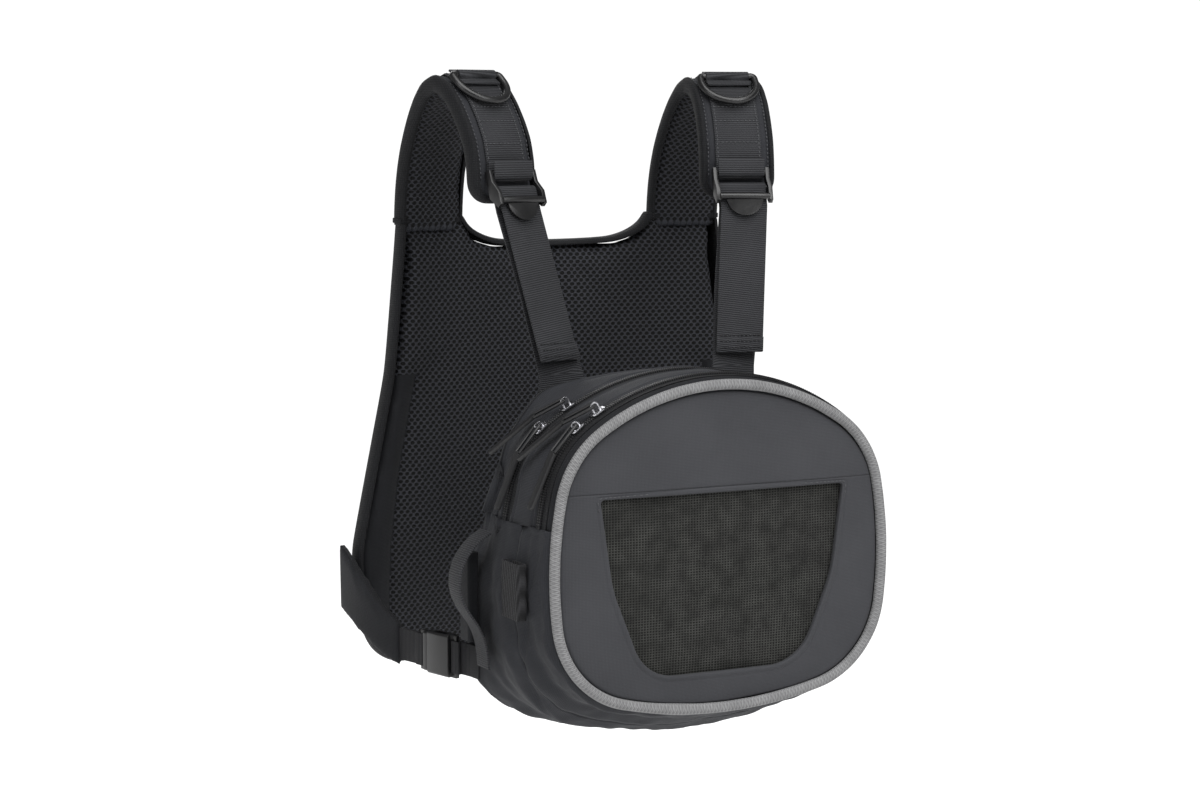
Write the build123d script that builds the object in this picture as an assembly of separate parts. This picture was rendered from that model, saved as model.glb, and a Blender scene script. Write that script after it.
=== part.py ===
from build123d import *
import os
from math import atan2, cos, degrees, hypot, radians, sin, sqrt

os.makedirs("parts", exist_ok=True)

# Chest-pack fishing vest, in millimetres.
# Origin: midway between the two shoulder crests, on the underside of the straps.
# +Z is up, -Y is the wearer's front and +X is the wearer's left.

RUNNING_GAP = 0.3          # between pieces of different bodies
SEWN_GAP = 0.2             # between layers of one body that are stitched together
MANY = 1000                # larger than the vest, for cutting tools

# Back panel: a padded plate that is curved in plan around the wearer's back
BACK_Y = 85                # middle of the plate at the centre line
BACK_RADIUS = 620          # plan radius of its mid surface
BACK_THICKNESS = 14
BACK_TOP = -108            # seam between panel horns and shoulder straps
BACK_BOTTOM = -463
LINER_THICKNESS = 2.8
COVER_THICKNESS = 2.4
LINER_INSET = 5
CORE_INSET = 4
HORN_INNER_X = 87
HORN_OUTER_X = 145
NECK_Z = -122
NECK_RADIUS = 12
WAIST_UPPER = (157, -225)  # end of the steep upper side
WAIST_LOWER = (192, -372)  # end of the flared lower side
HEM_HALF_WIDTH = 176
FLARE_RADIUS = 220
HIP_RADIUS = 60
HEM_CORNER_RADIUS = 38

# Shoulder straps: profile in a vertical plane, as distance forward of the crest and height
STRAP_X = 116
STRAP_PROFILE = [(-67.5, -107.8), (-46, -34), (0, 0), (29, -31), (39, -86)]
STRAP_START = (0.05, 1)
STRAP_END = (0.03, -1)
STRAP_WIDTH = 60
TOE_IN = 15.5              # degrees that the front half turns towards the middle
TOE_FROM = -20
TOE_TO = 25
FOOT_YAW = 10.7            # degrees, width direction at the panel horn
PAD_LINING = (0, 2.8)      # layer heights above the underside
PAD_BODY = (3.0, 11.4)
PAD_WEBBING = (11.6, 13.1)
STRAP_STATIONS = 17
WEBBING_WIDTH = 38
WEBBING_THICKNESS = 1.5
WEBBING_FROM = 2           # first and last strap station that the webbing reaches
WEBBING_TO = 15

# D-rings on the strap crests
RING_AT = 0.60             # share of the strap's length
RING_LIES = 12             # degrees that the ring drops from the strap's line at its bar
RING_BAR_RADIUS = 2.3
RING_INNER_HALF = 20.5
RING_ARM = 8               # straight part of each arm
RING_CORNER = 3
KEEPER_WIDTH = 36
KEEPER_FLANGE = 7

# Ladder locks
LOCK_AT = 0.915
LOCK_TILT = 15             # degrees that the lock leans out in line with the front strap
LOCK_BAR_RADIUS = 2.4
LOCK_EAR = 3.2
LOCK_SLOT_HALF = 20
LOCK_GRIP_DROP = 13        # top bar to grip bar
LOCK_LIP_DROP = 22         # top bar to lip bar
LOCK_LIP_RADIUS = 2.6
LOCK_DEPTH = 5.6           # lip bar in front of the other bars
THUMB_RADIUS = 15
THUMB_THICKNESS = 2.2
LOOP_LEG = 11

# Front straps, from the ladder locks to the pack
ANCHOR = (76, -88.9, -217)
ANCHOR_FOOT = 28
TAIL_END = (79, -93.5, -206)
HEM_THICKNESS = 1.5
HEM_SHARE = 0.1            # share of the tail that is folded back

# Pack outlines: top, bottom, half width, height of the widest place, then the radii of
# the top, shoulder, side, lower corner and bottom arcs, which run tangent to each other
REAR_EDGE = (-217, -494, 158, -385, 420, 38, 225, 68, 350)
MAIN_ZIP_EDGE = (-213, -482, 151, -368, 190, 80, 300, 72, 350)
FRONT_ZIP_EDGE = (-212, -466, 145, -354, 190, 79, 300, 74, 350)
FACE_EDGE = (-215, -463, 142, -353, 187, 77, 300, 74, 350)

# Pack depths, as distances forward of the crests
WALL_REAR = 90
WALL_FRONT = 94
STIFFENER_THICKNESS = 1.2
STIFFENER_INSET = 14
SHELL_REAR = 95.6
MAIN_ZIP = 142
FRONT_ZIP = 192
ZIP_SLOT = 1.5             # half the slot between two shells, under the coil
ZIP_BAND = 12              # straight stretch of shell beside a zip
SHELL_WALL = 2.4
DIVIDER = (185.2, 187.4)
FACE_REAR = 204
FACE_THICKNESS = 4.4
MESH_THICKNESS = 1.2
MESH_LAP = 5
PIPING_RADIUS = 4.2
PIPING_AT = 206.5

# Window in the face: half widths and heights of its top and foot
WINDOW_TOP = (100.5, -297)
WINDOW_FOOT = (69, -432)
WINDOW_TOP_RADIUS = 6
WINDOW_FOOT_RADIUS = 30

# Zips
ZIP_END = -318             # height where both zips stop
COIL_GAP = 0.2
COIL_WIDTH = 2.4
COIL_HEIGHT = 2.5
TAPE_WIDTH = 6.4
TAPE_THICKNESS = 0.9
TAPE_LIFT = 0.1
SLIDER_LENGTH = 12
SLIDER_WIDTH = 8.6
SLIDER_PLATE = 1.5
SLIDER_CORNER = 2.5
SLIDER_RIM = 1.0
BAIL_WIDTH = 1.4
BAIL_RADIUS = 3.2
BAIL_WIRE = 1.0
TOP_BAIL_LIFT = 4.0        # the top sliders' bails carry their pulls over the side sliders
SIDE_BAIL_LIFT = 1.6
TOP_PULL_BENDS = (3, 12)   # degrees down at the slider and at the tab
SIDE_PULL_BENDS = (9, 17)
TOP_SLIDER_ANGLE = 30      # degrees from the top of the arc
SIDE_SLIDER_ANGLE = 5.4    # degrees past the start of the shoulder arc
PULL_WIDTH = 7.5
PULL_THICKNESS = 2.4
PULL_CORNER = 3
PULL_CORD = 26
PULL_CORD_RADIUS = 1.2
PULL_TAB = 46
TOP_PULL_SPREAD = 4.0      # half the distance between a pull's two cords
SIDE_PULL_SPREAD = 3.4
TOP_PULL_YAW = 30          # degrees that the top pulls lie rearward of their zip
PULL_YOKE_RADIUS = 0.9

# Folding gussets inside the sewn lower sides
GUSSET_LIFT = 3.4
GUSSET_THICKNESS = 0.8
MAIN_GUSSET = (134, 150)
FRONT_GUSSET = (188, 200)
GUSSET_TOP = -326
GUSSET_FOOT = -440

# Tool fittings on the wearer's right side of the pack
SLEEVE_DEPTHS = (99, 117)
SLEEVE_HEIGHTS = (-413, -345)
SLEEVE_STANDOFF = 9
SLEEVE_WALL = 1.4
ELASTIC_DEPTHS = (157, 187)
ELASTIC_HEIGHTS = (-386, -344)
ELASTIC_STANDOFF = 8
LOOP_PATH = [(158, -328), (170, -336), (181, -352), (183, -368), (177, -384), (168, -397), (162, -412),
             (160, -436), (159, -462)]
LOOP_DEPTH = 129.5
LOOP_WIDTH = 20
LOOP_THICKNESS = 1.8

# Waist wings and side-release buckles
WING_PATH = [(197.5, 62, -388), (198, 40, -396), (196, 18, -407), (190, -3, -420), (182, -20, -430)]
WING_HEIGHTS = [52, 50, 46, 40, 34]
WING_THICKNESS = 6
BELT_START = (182, -21, -430)
BELT_YAW = 15              # degrees that the belt runs inward of straight ahead
BELT_HEIGHT = 25
BELT_THICKNESS = 1.6
BELT_LOOP_RUN = 3
PLUG_FROM = 26             # distances along the belt from the wing's tip
PLUG_SLOT = (29, 32.6)
MOUTH = 38
CAVITY_END = 60
SOCKET_SLOT = (63.4, 67)
SOCKET_END = 70
BAR_THICKNESS = 3
TAB_ROUTE = [(161.8, -94.5), (159.6, -104), (158.6, -117)]
BUCKLE_HEIGHT = 33
BUCKLE_THICKNESS = 10
BUCKLE_CORNER = 2
TONGUE_HEIGHT = 6
PRONG_CORNER = 1.5
SLOT_PLAY = 1.5            # webbing slots are this much wider than their webbing
CAVITY_HEIGHT = 25.6
CAVITY_THICKNESS = 6.2
PRONG_HEIGHT = 5
PRONG_WINDOW = (44, 57)


def write(shape, node):
    """Write one node, placed in the vest's own frame."""
    export_step(shape, f"parts/{node}.step")


def write_pair(shape, node):
    """Write the wearer's left piece as modelled and the right one as its mirror image."""
    write(shape, f"{node}_left")
    write(mirror(shape, about=Plane.YZ), f"{node}_right")


def joined(solids):
    """Gather separate solids that share a node."""
    return Compound(children=list(solids))


def unit(x, y):
    """Unit vector in a plane."""
    length = hypot(x, y)
    return x / length, y / length


def crossing(c0, r0, c1, r1, side):
    """Where two circles cross, on the upper (+1) or lower (-1) side of their centres."""
    gap = hypot(c1[0] - c0[0], c1[1] - c0[1])
    along = (r0 ** 2 - r1 ** 2 + gap ** 2) / (2 * gap)
    across = sqrt(r0 ** 2 - along ** 2)
    ux, uy = unit(c1[0] - c0[0], c1[1] - c0[1])
    return c0[0] + along * ux - side * across * uy, c0[1] + along * uy + side * across * ux


def edge_centres(edge):
    """Centres of the five arcs in one half of a pack outline."""
    top, bottom, half, wide, r_top, r_shoulder, r_side, r_corner, r_bottom = edge
    c_top = (0, top - r_top)
    c_side = (half - r_side, wide)
    c_bottom = (0, bottom + r_bottom)
    c_shoulder = max((crossing(c_top, r_top - r_shoulder, c_side, r_side - r_shoulder, s) for s in (1, -1)),
                     key=lambda c: c[0] + c[1])
    c_corner = max((crossing(c_bottom, r_bottom - r_corner, c_side, r_side - r_corner, s) for s in (1, -1)),
                   key=lambda c: c[0] - c[1])
    return c_top, c_shoulder, c_side, c_corner, c_bottom


def beyond(c_outer, radius, c_inner):
    """Point where an arc touches the tighter arc inside it."""
    ux, uy = unit(c_inner[0] - c_outer[0], c_inner[1] - c_outer[1])
    return c_outer[0] + radius * ux, c_outer[1] + radius * uy


def arc_about(centre, start, end):
    """Arc from start to end about a centre, the short way round."""
    a = unit(start[0] - centre[0], start[1] - centre[1])
    b = unit(end[0] - centre[0], end[1] - centre[1])
    radius = hypot(start[0] - centre[0], start[1] - centre[1])
    mx, my = unit(a[0] + b[0], a[1] + b[1])
    return ThreePointArc(start, (centre[0] + radius * mx, centre[1] + radius * my), end)


def edge_points(edge, grow):
    """Tangent points of the right half of a pack outline, from top to bottom."""
    r_top, r_side, r_bottom = edge[4] + grow, edge[6] + grow, edge[8] + grow
    c_top, c_shoulder, c_side, c_corner, c_bottom = edge_centres(edge)
    return [(0, edge[0] + grow), beyond(c_top, r_top, c_shoulder), beyond(c_side, r_side, c_shoulder),
            beyond(c_side, r_side, c_corner), beyond(c_bottom, r_bottom, c_corner), (0, edge[1] - grow)]


def edge_sketch(edge, grow=0.0):
    """Closed pack outline, grown outward by a distance, in the (x, z) plane."""
    points = edge_points(edge, grow)
    right = [arc_about(c, p, q) for c, p, q in zip(edge_centres(edge), points, points[1:])]
    left = [mirror(arc, about=Plane.YZ) for arc in right]
    return make_face(Curve() + right + left)


def slice_at(edge, depth, grow=0.0):
    """Pack outline as a face, at a distance forward of the crests."""
    return Plane.XZ.offset(depth) * edge_sketch(edge, grow)


def block(edge_a, depth_a, edge_b, depth_b, grow=0.0):
    """Solid between two outlines."""
    return loft([slice_at(edge_a, depth_a, grow), slice_at(edge_b, depth_b, grow)], ruled=True)


def slab(edge, depth_a, depth_b, grow=0.0):
    """Solid of one outline between two depths."""
    return extrude(slice_at(edge, depth_a, grow), amount=depth_b - depth_a, dir=(0, -1, 0))


def ring(edge, depth_a, depth_b, grow_in, grow_out):
    """Hoop between two growths of one outline."""
    return slab(edge, depth_a, depth_b, grow_out) - slab(edge, depth_a, depth_b, grow_in)


def heights(low, high):
    """Cutting block for everything between two heights."""
    return Pos(0, 0, (low + high) / 2) * Box(MANY, MANY, high - low)


def section(origin, width_dir, normal, width, low, high):
    """Rectangular ribbon section: width across, low to high along the normal."""
    origin, w, n = Vector(*origin), Vector(*width_dir) * (width / 2), Vector(*normal)
    corners = [origin - w + n * low, origin + w + n * low, origin + w + n * high, origin - w + n * high]
    return Face(Wire.make_polygon(corners, close=True))


def ribbon(stations, widths, low, high):
    """Strip through a list of (origin, width direction, normal) stations."""
    if isinstance(widths, (int, float)):
        widths = [widths] * len(stations)
    sections = [section(*s, w, low, high) for s, w in zip(stations, widths)]
    strip = Part()
    for near, far in zip(sections, sections[1:]):
        strip += loft([near, far], ruled=True)
    return strip


# ---------------------------------------------------------------- back panel

def panel_sketch(inset=0.0):
    """Back panel outline in the (x, z) plane, seen from the front."""
    steep = (HORN_OUTER_X, BACK_TOP)
    half = [(0, NECK_Z), (HORN_INNER_X, NECK_Z), (HORN_INNER_X, BACK_TOP), steep, WAIST_UPPER, WAIST_LOWER,
            (HEM_HALF_WIDTH + 12, BACK_BOTTOM + 62), (HEM_HALF_WIDTH, BACK_BOTTOM), (0, BACK_BOTTOM)]
    outline = make_face(Polyline(*half, close=True))
    whole = outline + mirror(outline, about=Plane.YZ)
    radii = [((HORN_INNER_X, NECK_Z), NECK_RADIUS), (WAIST_UPPER, FLARE_RADIUS), (WAIST_LOWER, HIP_RADIUS),
             ((HEM_HALF_WIDTH + 12, BACK_BOTTOM + 62), HIP_RADIUS),
             ((HEM_HALF_WIDTH, BACK_BOTTOM), HEM_CORNER_RADIUS)]
    for (x, z), radius in radii:
        corners = [v for v in whole.vertices() if abs(abs(v.X) - x) < 0.01 and abs(v.Y - z) < 0.01]
        whole = fillet(corners, radius)
    return offset(whole, amount=-inset, kind=Kind.INTERSECTION) if inset else whole


def panel_layer(low, high, inset):
    """Layer of the curved back panel, from low to high towards the rear."""
    centre_y = BACK_Y - BACK_RADIUS
    face_radius = BACK_RADIUS - BACK_THICKNESS / 2
    tube = Cylinder(face_radius + high, MANY) - Cylinder(face_radius + low, MANY)
    prism = extrude(Plane.XZ * panel_sketch(inset), amount=-2 * BACK_Y)
    return (Pos(0, centre_y, 0) * tube) & prism


write(panel_layer(0, LINER_THICKNESS, LINER_INSET), "back_mesh_liner")
write(panel_layer(LINER_THICKNESS + SEWN_GAP, BACK_THICKNESS - COVER_THICKNESS - SEWN_GAP, CORE_INSET),
      "back_foam_core")
write(panel_layer(BACK_THICKNESS - COVER_THICKNESS, BACK_THICKNESS, 0), "back_outer_panel")


# ------------------------------------------------------------ shoulder straps

profile = Spline(*STRAP_PROFILE, tangents=(STRAP_START, STRAP_END))


def plan_place(forward):
    """Place in plan, for a distance forward of the crest on the wearer's left strap."""
    if forward <= TOE_FROM:
        return STRAP_X, -forward, 0.0
    radius = (TOE_TO - TOE_FROM) / radians(TOE_IN)
    turn = radians(TOE_IN) * (min(forward, TOE_TO) - TOE_FROM) / (TOE_TO - TOE_FROM)
    rest = max(forward - TOE_TO, 0)
    x = STRAP_X - radius * (1 - cos(turn)) - rest * sin(turn)
    y = -TOE_FROM - radius * sin(turn) - rest * cos(turn)
    return x, y, turn


def strap_station(share):
    """Origin on the strap's underside, width direction and outward normal."""
    place, heading = profile @ share, profile % share
    x, y, turn = plan_place(place.X)
    along = Vector(-heading.X * sin(turn), -heading.X * cos(turn), heading.Y)
    yaw = radians(FOOT_YAW + (TOE_IN - FOOT_YAW) * share)
    across = Vector(cos(yaw), -sin(yaw), 0)
    return Vector(x, y, place.Y), across, along.cross(across).normalized()


def strap_layer(first, last, width, heights_pair):
    """Layer of the shoulder strap between two of its stations."""
    stations = [strap_station(i / (STRAP_STATIONS - 1)) for i in range(first, last + 1)]
    return ribbon(stations, width, *heights_pair)


def plane_on_strap(share, lift):
    """Plane on the strap: x across, z outward, y back up the strap."""
    origin, across, normal = strap_station(share)
    return Plane(origin=origin + normal * lift, x_dir=across, z_dir=normal)


write_pair(strap_layer(0, STRAP_STATIONS - 1, STRAP_WIDTH, PAD_LINING), "shoulder_lining")
write_pair(strap_layer(0, STRAP_STATIONS - 1, STRAP_WIDTH, PAD_BODY), "shoulder_pad")


# Ladder lock, in its own plane: x across, y up the strap, z outward
LOOP_INNER = LOCK_BAR_RADIUS + RUNNING_GAP
LOOP_OUTER = LOOP_INNER + WEBBING_THICKNESS
lock_lift = PAD_WEBBING[1] + SEWN_GAP + LOOP_OUTER
loop_plane = plane_on_strap(LOCK_AT, lock_lift)
lock_plane = Plane(loop_plane * Rot(-LOCK_TILT, 0, 0))


def bar(x_half, y, z, radius):
    """Round bar across the lock."""
    return Pos(0, y, z) * Rot(0, 90, 0) * Cylinder(radius, 2 * x_half)


def lock_side_sketch():
    """Side ear of the lock, in the (z, y) plane."""
    return make_face(Polyline((-3, 3.4), (3, 3.4), (3.2, -6),
                              (LOCK_DEPTH + 2.8, -15), (LOCK_DEPTH + 2.8, -25),
                              (LOCK_DEPTH - 1, -27), (-3, -18), close=True))


def ladder_lock():
    """Three-bar strap adjuster with a thumb lip."""
    ear_plane = Plane(origin=(0, 0, 0), x_dir=(0, 0, 1), z_dir=(-1, 0, 0))
    ear = extrude(ear_plane * lock_side_sketch(), amount=LOCK_EAR)
    lock = Pos(-LOCK_SLOT_HALF, 0, 0) * ear
    lock += Pos(LOCK_SLOT_HALF + LOCK_EAR, 0, 0) * ear
    lock += bar(LOCK_SLOT_HALF + 0.5, 0, 0, LOCK_BAR_RADIUS)
    lock += bar(LOCK_SLOT_HALF + 0.5, -LOCK_GRIP_DROP, 0, LOCK_BAR_RADIUS)
    lock += bar(LOCK_SLOT_HALF + 0.5, -LOCK_LIP_DROP, LOCK_DEPTH + THUMB_THICKNESS, LOCK_LIP_RADIUS)
    thumb = Pos(0, -LOCK_LIP_DROP - 1, LOCK_DEPTH) * extrude(Circle(THUMB_RADIUS), amount=THUMB_THICKNESS)
    below = Pos(0, -LOCK_LIP_DROP - 1 - MANY / 2, 0) * Box(MANY, MANY, MANY)
    return lock + (thumb & below)


def webbing_turn(y, leg):
    """Webbing folded round a bar, open downward (leg < 0) or upward, as a profile in (z, y)."""
    sign = 1 if leg > 0 else -1
    outer = Pos(0, y) * Circle(LOOP_OUTER) + Pos(0, y + leg / 2) * Rectangle(2 * LOOP_OUTER, abs(leg))
    inner = Pos(0, y) * Circle(LOOP_INNER)
    inner += Pos(0, y + sign * (abs(leg) + 1) / 2) * Rectangle(2 * LOOP_INNER, abs(leg) + 1)
    turn_plane = Plane(origin=(WEBBING_WIDTH / 2, 0, 0), x_dir=(0, 0, 1), z_dir=(-1, 0, 0))
    return extrude(turn_plane * (outer - inner), amount=WEBBING_WIDTH)


write_pair(lock_plane * ladder_lock(), "ladder_lock")
write_pair(joined([strap_layer(WEBBING_FROM, WEBBING_TO, WEBBING_WIDTH, PAD_WEBBING),
                   loop_plane * webbing_turn(0, LOOP_LEG)]), "shoulder_webbing")


# Front strap: up from the pack, round the grip bar and down again as a loose tail
leg_end = -LOCK_LIP_DROP - 7
leg_mid = (LOOP_INNER + LOOP_OUTER) / 2
half_webbing = WEBBING_THICKNESS / 2
load_top = lock_plane * Pos(0, leg_end, -leg_mid)
tail_top = lock_plane * Pos(0, leg_end, leg_mid)
LEFT_ACROSS = tuple(lock_plane.x_dir)
LOCK_NORMAL = lock_plane.z_dir
turned = lock_plane * webbing_turn(-LOCK_GRIP_DROP, leg_end + LOCK_GRIP_DROP)


def facing(start, end, across):
    """Normal of a strip that runs from start to end."""
    return (Vector(*end) - Vector(*start)).cross(Vector(*across)).normalized()


def front_strap():
    """Load-bearing webbing, its turn round the grip bar and its tail with a folded hem."""
    load_from = Vector(*load_top.position)
    tail_from = Vector(*tail_top.position)
    tail_end = Vector(*TAIL_END)
    anchor = Vector(*ANCHOR)
    rear = Vector(0, -1, 0)
    load_normal = facing(load_from, anchor, (1, 0, 0))
    load = ribbon([(load_from, LEFT_ACROSS, LOCK_NORMAL),
                   (load_from * 0.5 + anchor * 0.5, LEFT_ACROSS, load_normal),
                   (anchor, (1, 0, 0), rear), (anchor - Vector(0, 0, ANCHOR_FOOT), (1, 0, 0), rear)],
                  WEBBING_WIDTH, -half_webbing, half_webbing)
    tail_normal = facing(tail_from, tail_end, LEFT_ACROSS)
    tail = ribbon([(tail_from, LEFT_ACROSS, LOCK_NORMAL),
                   (tail_from * 0.5 + tail_end * 0.5, LEFT_ACROSS, tail_normal),
                   (tail_end, LEFT_ACROSS, tail_normal)], WEBBING_WIDTH, -half_webbing, half_webbing)
    hem_from = tail_end * (1 - HEM_SHARE) + tail_from * HEM_SHARE
    hem = ribbon([(hem_from, LEFT_ACROSS, tail_normal), (tail_end, LEFT_ACROSS, tail_normal)],
                 WEBBING_WIDTH, half_webbing, half_webbing + HEM_THICKNESS)
    return turned + load + tail + hem


write_pair(front_strap(), "front_strap")


# D-ring: x along its bar, y back up the strap, z outward
ring_lift = PAD_WEBBING[1] + SEWN_GAP + RING_BAR_RADIUS + RUNNING_GAP
ring_plane = plane_on_strap(RING_AT, ring_lift)


def d_ring():
    """Round-section D: a straight bar and a curved bow."""
    half = RING_INNER_HALF + RING_BAR_RADIUS
    arms = Polyline((-half, -RING_ARM), (-half, 0), (half, 0), (half, -RING_ARM))
    bow = ThreePointArc((half, -RING_ARM), (0, -RING_ARM - half), (-half, -RING_ARM))
    outline = make_face(arms + bow)
    outline = fillet([v for v in outline.vertices() if v.Y > -1], RING_CORNER)
    path = outline.face().outer_wire()
    return sweep(Plane(origin=path @ 0, z_dir=path % 0) * Circle(RING_BAR_RADIUS), path=path)


def ring_keeper():
    """Short webbing arch that holds the ring's bar on the strap."""
    inner = RING_BAR_RADIUS + RUNNING_GAP
    outer = inner + WEBBING_THICKNESS
    base = -inner
    profile_2d = Circle(outer) + Pos(base / 2, 0) * Rectangle(-base, 2 * outer)
    flange = Rectangle(WEBBING_THICKNESS, 2 * (outer + KEEPER_FLANGE))
    profile_2d += Pos(base + WEBBING_THICKNESS / 2, 0) * flange
    profile_2d -= Circle(inner) + Pos(base, 0) * Rectangle(-2 * base, 2 * inner)
    profile_2d &= Pos(base + MANY / 2, 0) * Rectangle(MANY, MANY)
    turn_plane = Plane(origin=(KEEPER_WIDTH / 2, 0, 0), x_dir=(0, 0, 1), z_dir=(-1, 0, 0))
    return extrude(turn_plane * profile_2d, amount=KEEPER_WIDTH)


write_pair(ring_plane * Rot(RING_LIES, 0, 0) * d_ring(), "d_ring")
write_pair(ring_plane * ring_keeper(), "d_ring_keeper")


# ----------------------------------------------------------------------- pack

write(slab(REAR_EDGE, WALL_REAR, WALL_FRONT), "pack_back_wall")
write(slab(REAR_EDGE, WALL_FRONT + SEWN_GAP, WALL_FRONT + SEWN_GAP + STIFFENER_THICKNESS, -STIFFENER_INSET),
      "pack_back_stiffener")


def tapered_shell(edge_a, depth_a, depth_b, edge_c, depth_c, depth_d):
    """Shell that is straight to depth_b, tapers to depth_c and is straight to depth_d."""
    outer = block(edge_a, depth_b, edge_c, depth_c) + slab(edge_c, depth_c, depth_d)
    inner = block(edge_a, depth_b, edge_c, depth_c, -SHELL_WALL) + slab(edge_c, depth_c, depth_d, -SHELL_WALL)
    if depth_b > depth_a:
        outer += slab(edge_a, depth_a, depth_b)
        inner += slab(edge_a, depth_a, depth_b, -SHELL_WALL)
    return outer - inner


write(tapered_shell(REAR_EDGE, SHELL_REAR, SHELL_REAR, MAIN_ZIP_EDGE,
                    MAIN_ZIP - ZIP_BAND, MAIN_ZIP - ZIP_SLOT),
      "main_shell")
write(tapered_shell(MAIN_ZIP_EDGE, MAIN_ZIP + ZIP_SLOT, MAIN_ZIP + ZIP_BAND, FRONT_ZIP_EDGE,
                    FRONT_ZIP - ZIP_BAND, FRONT_ZIP - ZIP_SLOT), "middle_shell")
write(slab(FRONT_ZIP_EDGE, *DIVIDER, -SHELL_WALL - SEWN_GAP), "compartment_divider")
write(ring(FRONT_ZIP_EDGE, FRONT_ZIP + ZIP_SLOT, FACE_REAR - SEWN_GAP, -SHELL_WALL, 0), "front_gusset")


def window_sketch(lap=0.0):
    """Window outline in the face, grown by the sewn lap of its mesh."""
    top_x, top_z = WINDOW_TOP
    foot_x, foot_z = WINDOW_FOOT
    corners = [(-top_x, top_z), (top_x, top_z), (foot_x, foot_z), (-foot_x, foot_z)]
    sketch = make_face(Polyline(*corners, close=True))
    sketch = fillet([v for v in sketch.vertices() if v.Y > top_z - 1], WINDOW_TOP_RADIUS)
    sketch = fillet([v for v in sketch.vertices() if v.Y < foot_z + 1], WINDOW_FOOT_RADIUS)
    return offset(sketch, amount=lap) if lap else sketch


face_inset = -PIPING_RADIUS - SEWN_GAP
face_blank = slab(FACE_EDGE, FACE_REAR, FACE_REAR + FACE_THICKNESS, face_inset)
window_cut = extrude(Plane.XZ.offset(FACE_REAR - 1) * window_sketch(), amount=FACE_THICKNESS + 2)
mesh_depth = FACE_REAR - SEWN_GAP - MESH_THICKNESS
write(face_blank - window_cut, "face_panel")
write(extrude(Plane.XZ.offset(mesh_depth) * window_sketch(MESH_LAP), amount=MESH_THICKNESS), "window_mesh")

piping_face = Plane.XZ.offset(PIPING_AT + PIPING_RADIUS / 2) * edge_sketch(FACE_EDGE)
piping_path = Wire(piping_face.face().outer_wire().edges())
write(sweep(Plane(origin=piping_path @ 0, z_dir=piping_path % 0) * Circle(PIPING_RADIUS), path=piping_path),
      "face_piping")


# ----------------------------------------------------------------------- zips

def zip_half(edge, depth, side):
    """Coil and tape on one side of a zip: side -1 is rearward, +1 forward."""
    coil_at = sorted(depth + side * d for d in (COIL_GAP, COIL_GAP + COIL_WIDTH))
    tape_at = sorted(depth + side * d for d in (COIL_GAP + COIL_WIDTH, COIL_GAP + COIL_WIDTH + TAPE_WIDTH))
    coil = ring(edge, *coil_at, TAPE_LIFT, TAPE_LIFT + COIL_HEIGHT)
    tape = ring(edge, *tape_at, TAPE_LIFT, TAPE_LIFT + TAPE_THICKNESS)
    return (coil + tape) & heights(ZIP_END, 0)


write(zip_half(MAIN_ZIP_EDGE, MAIN_ZIP, -1), "main_zip_rear_tape")
write(zip_half(MAIN_ZIP_EDGE, MAIN_ZIP, 1), "main_zip_front_tape")
write(zip_half(FRONT_ZIP_EDGE, FRONT_ZIP, -1), "front_zip_rear_tape")
write(zip_half(FRONT_ZIP_EDGE, FRONT_ZIP, 1), "front_zip_front_tape")


def track_plane(centre, radius, angle, depth):
    """Plane on a zip's arc: x down the wearer's right side, y forward, z outward."""
    place = (centre[0] - radius * sin(radians(angle)), -depth, centre[1] + radius * cos(radians(angle)))
    return Plane(origin=place, x_dir=(-cos(radians(angle)), 0, -sin(radians(angle))),
                 z_dir=(-sin(radians(angle)), 0, cos(radians(angle))))


def slider(bail_lift):
    """Zip slider: a plate over the coil, a rim beside the rear half and a raised bail."""
    base = TAPE_LIFT + COIL_HEIGHT + RUNNING_GAP
    plate = Pos(0, 0, base + SLIDER_PLATE / 2) * Box(SLIDER_LENGTH, SLIDER_WIDTH, SLIDER_PLATE)
    plate = fillet(plate.edges().filter_by(Axis.Z), SLIDER_CORNER)
    rim_y = COIL_GAP + COIL_WIDTH + RUNNING_GAP + SLIDER_RIM / 2
    rim = Box(SLIDER_LENGTH - 2 * SLIDER_CORNER, SLIDER_RIM, SLIDER_RIM)
    rim = Pos(0, -rim_y, base - SLIDER_RIM / 2) * rim
    legs = Pos(0, bail_lift / 2) * Rectangle(2 * BAIL_RADIUS, bail_lift)
    window = Pos(0, bail_lift / 2) * Rectangle(2 * (BAIL_RADIUS - BAIL_WIRE), bail_lift)
    arch = Pos(0, bail_lift) * Circle(BAIL_RADIUS) + legs
    arch -= Pos(0, bail_lift) * Circle(BAIL_RADIUS - BAIL_WIRE) + window
    arch &= Pos(0, MANY / 2) * Rectangle(MANY, MANY)
    bail_plane = Plane(origin=(0, BAIL_WIDTH / 2, base + SLIDER_PLATE), x_dir=(1, 0, 0), z_dir=(0, -1, 0))
    return plate + rim + extrude(bail_plane * arch, amount=BAIL_WIDTH)


def pull(bend, tab_bend, spread):
    """Zip pull from its pivot: two cords side by side, then a flat tab, each turned down by an angle."""
    cords = []
    for y in (-spread, spread):
        cord = Pos(PULL_CORD / 2, y, 0) * Rot(0, 90, 0) * Cylinder(PULL_CORD_RADIUS, PULL_CORD)
        cords.append(Rot(0, bend, 0) * cord)
    yoke = Rot(90, 0, 0) * Cylinder(PULL_YOKE_RADIUS, 2 * spread)
    tab = Box(PULL_TAB, PULL_WIDTH, PULL_THICKNESS)
    tab = Pos(PULL_TAB / 2, 0, 0) * fillet(tab.edges().filter_by(Axis.Z), PULL_CORNER)
    tab = Rot(0, bend, 0) * Pos(PULL_CORD - 1, 0, 0) * Rot(0, tab_bend, 0) * tab
    return yoke + cords[0] + cords[1] + tab


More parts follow.
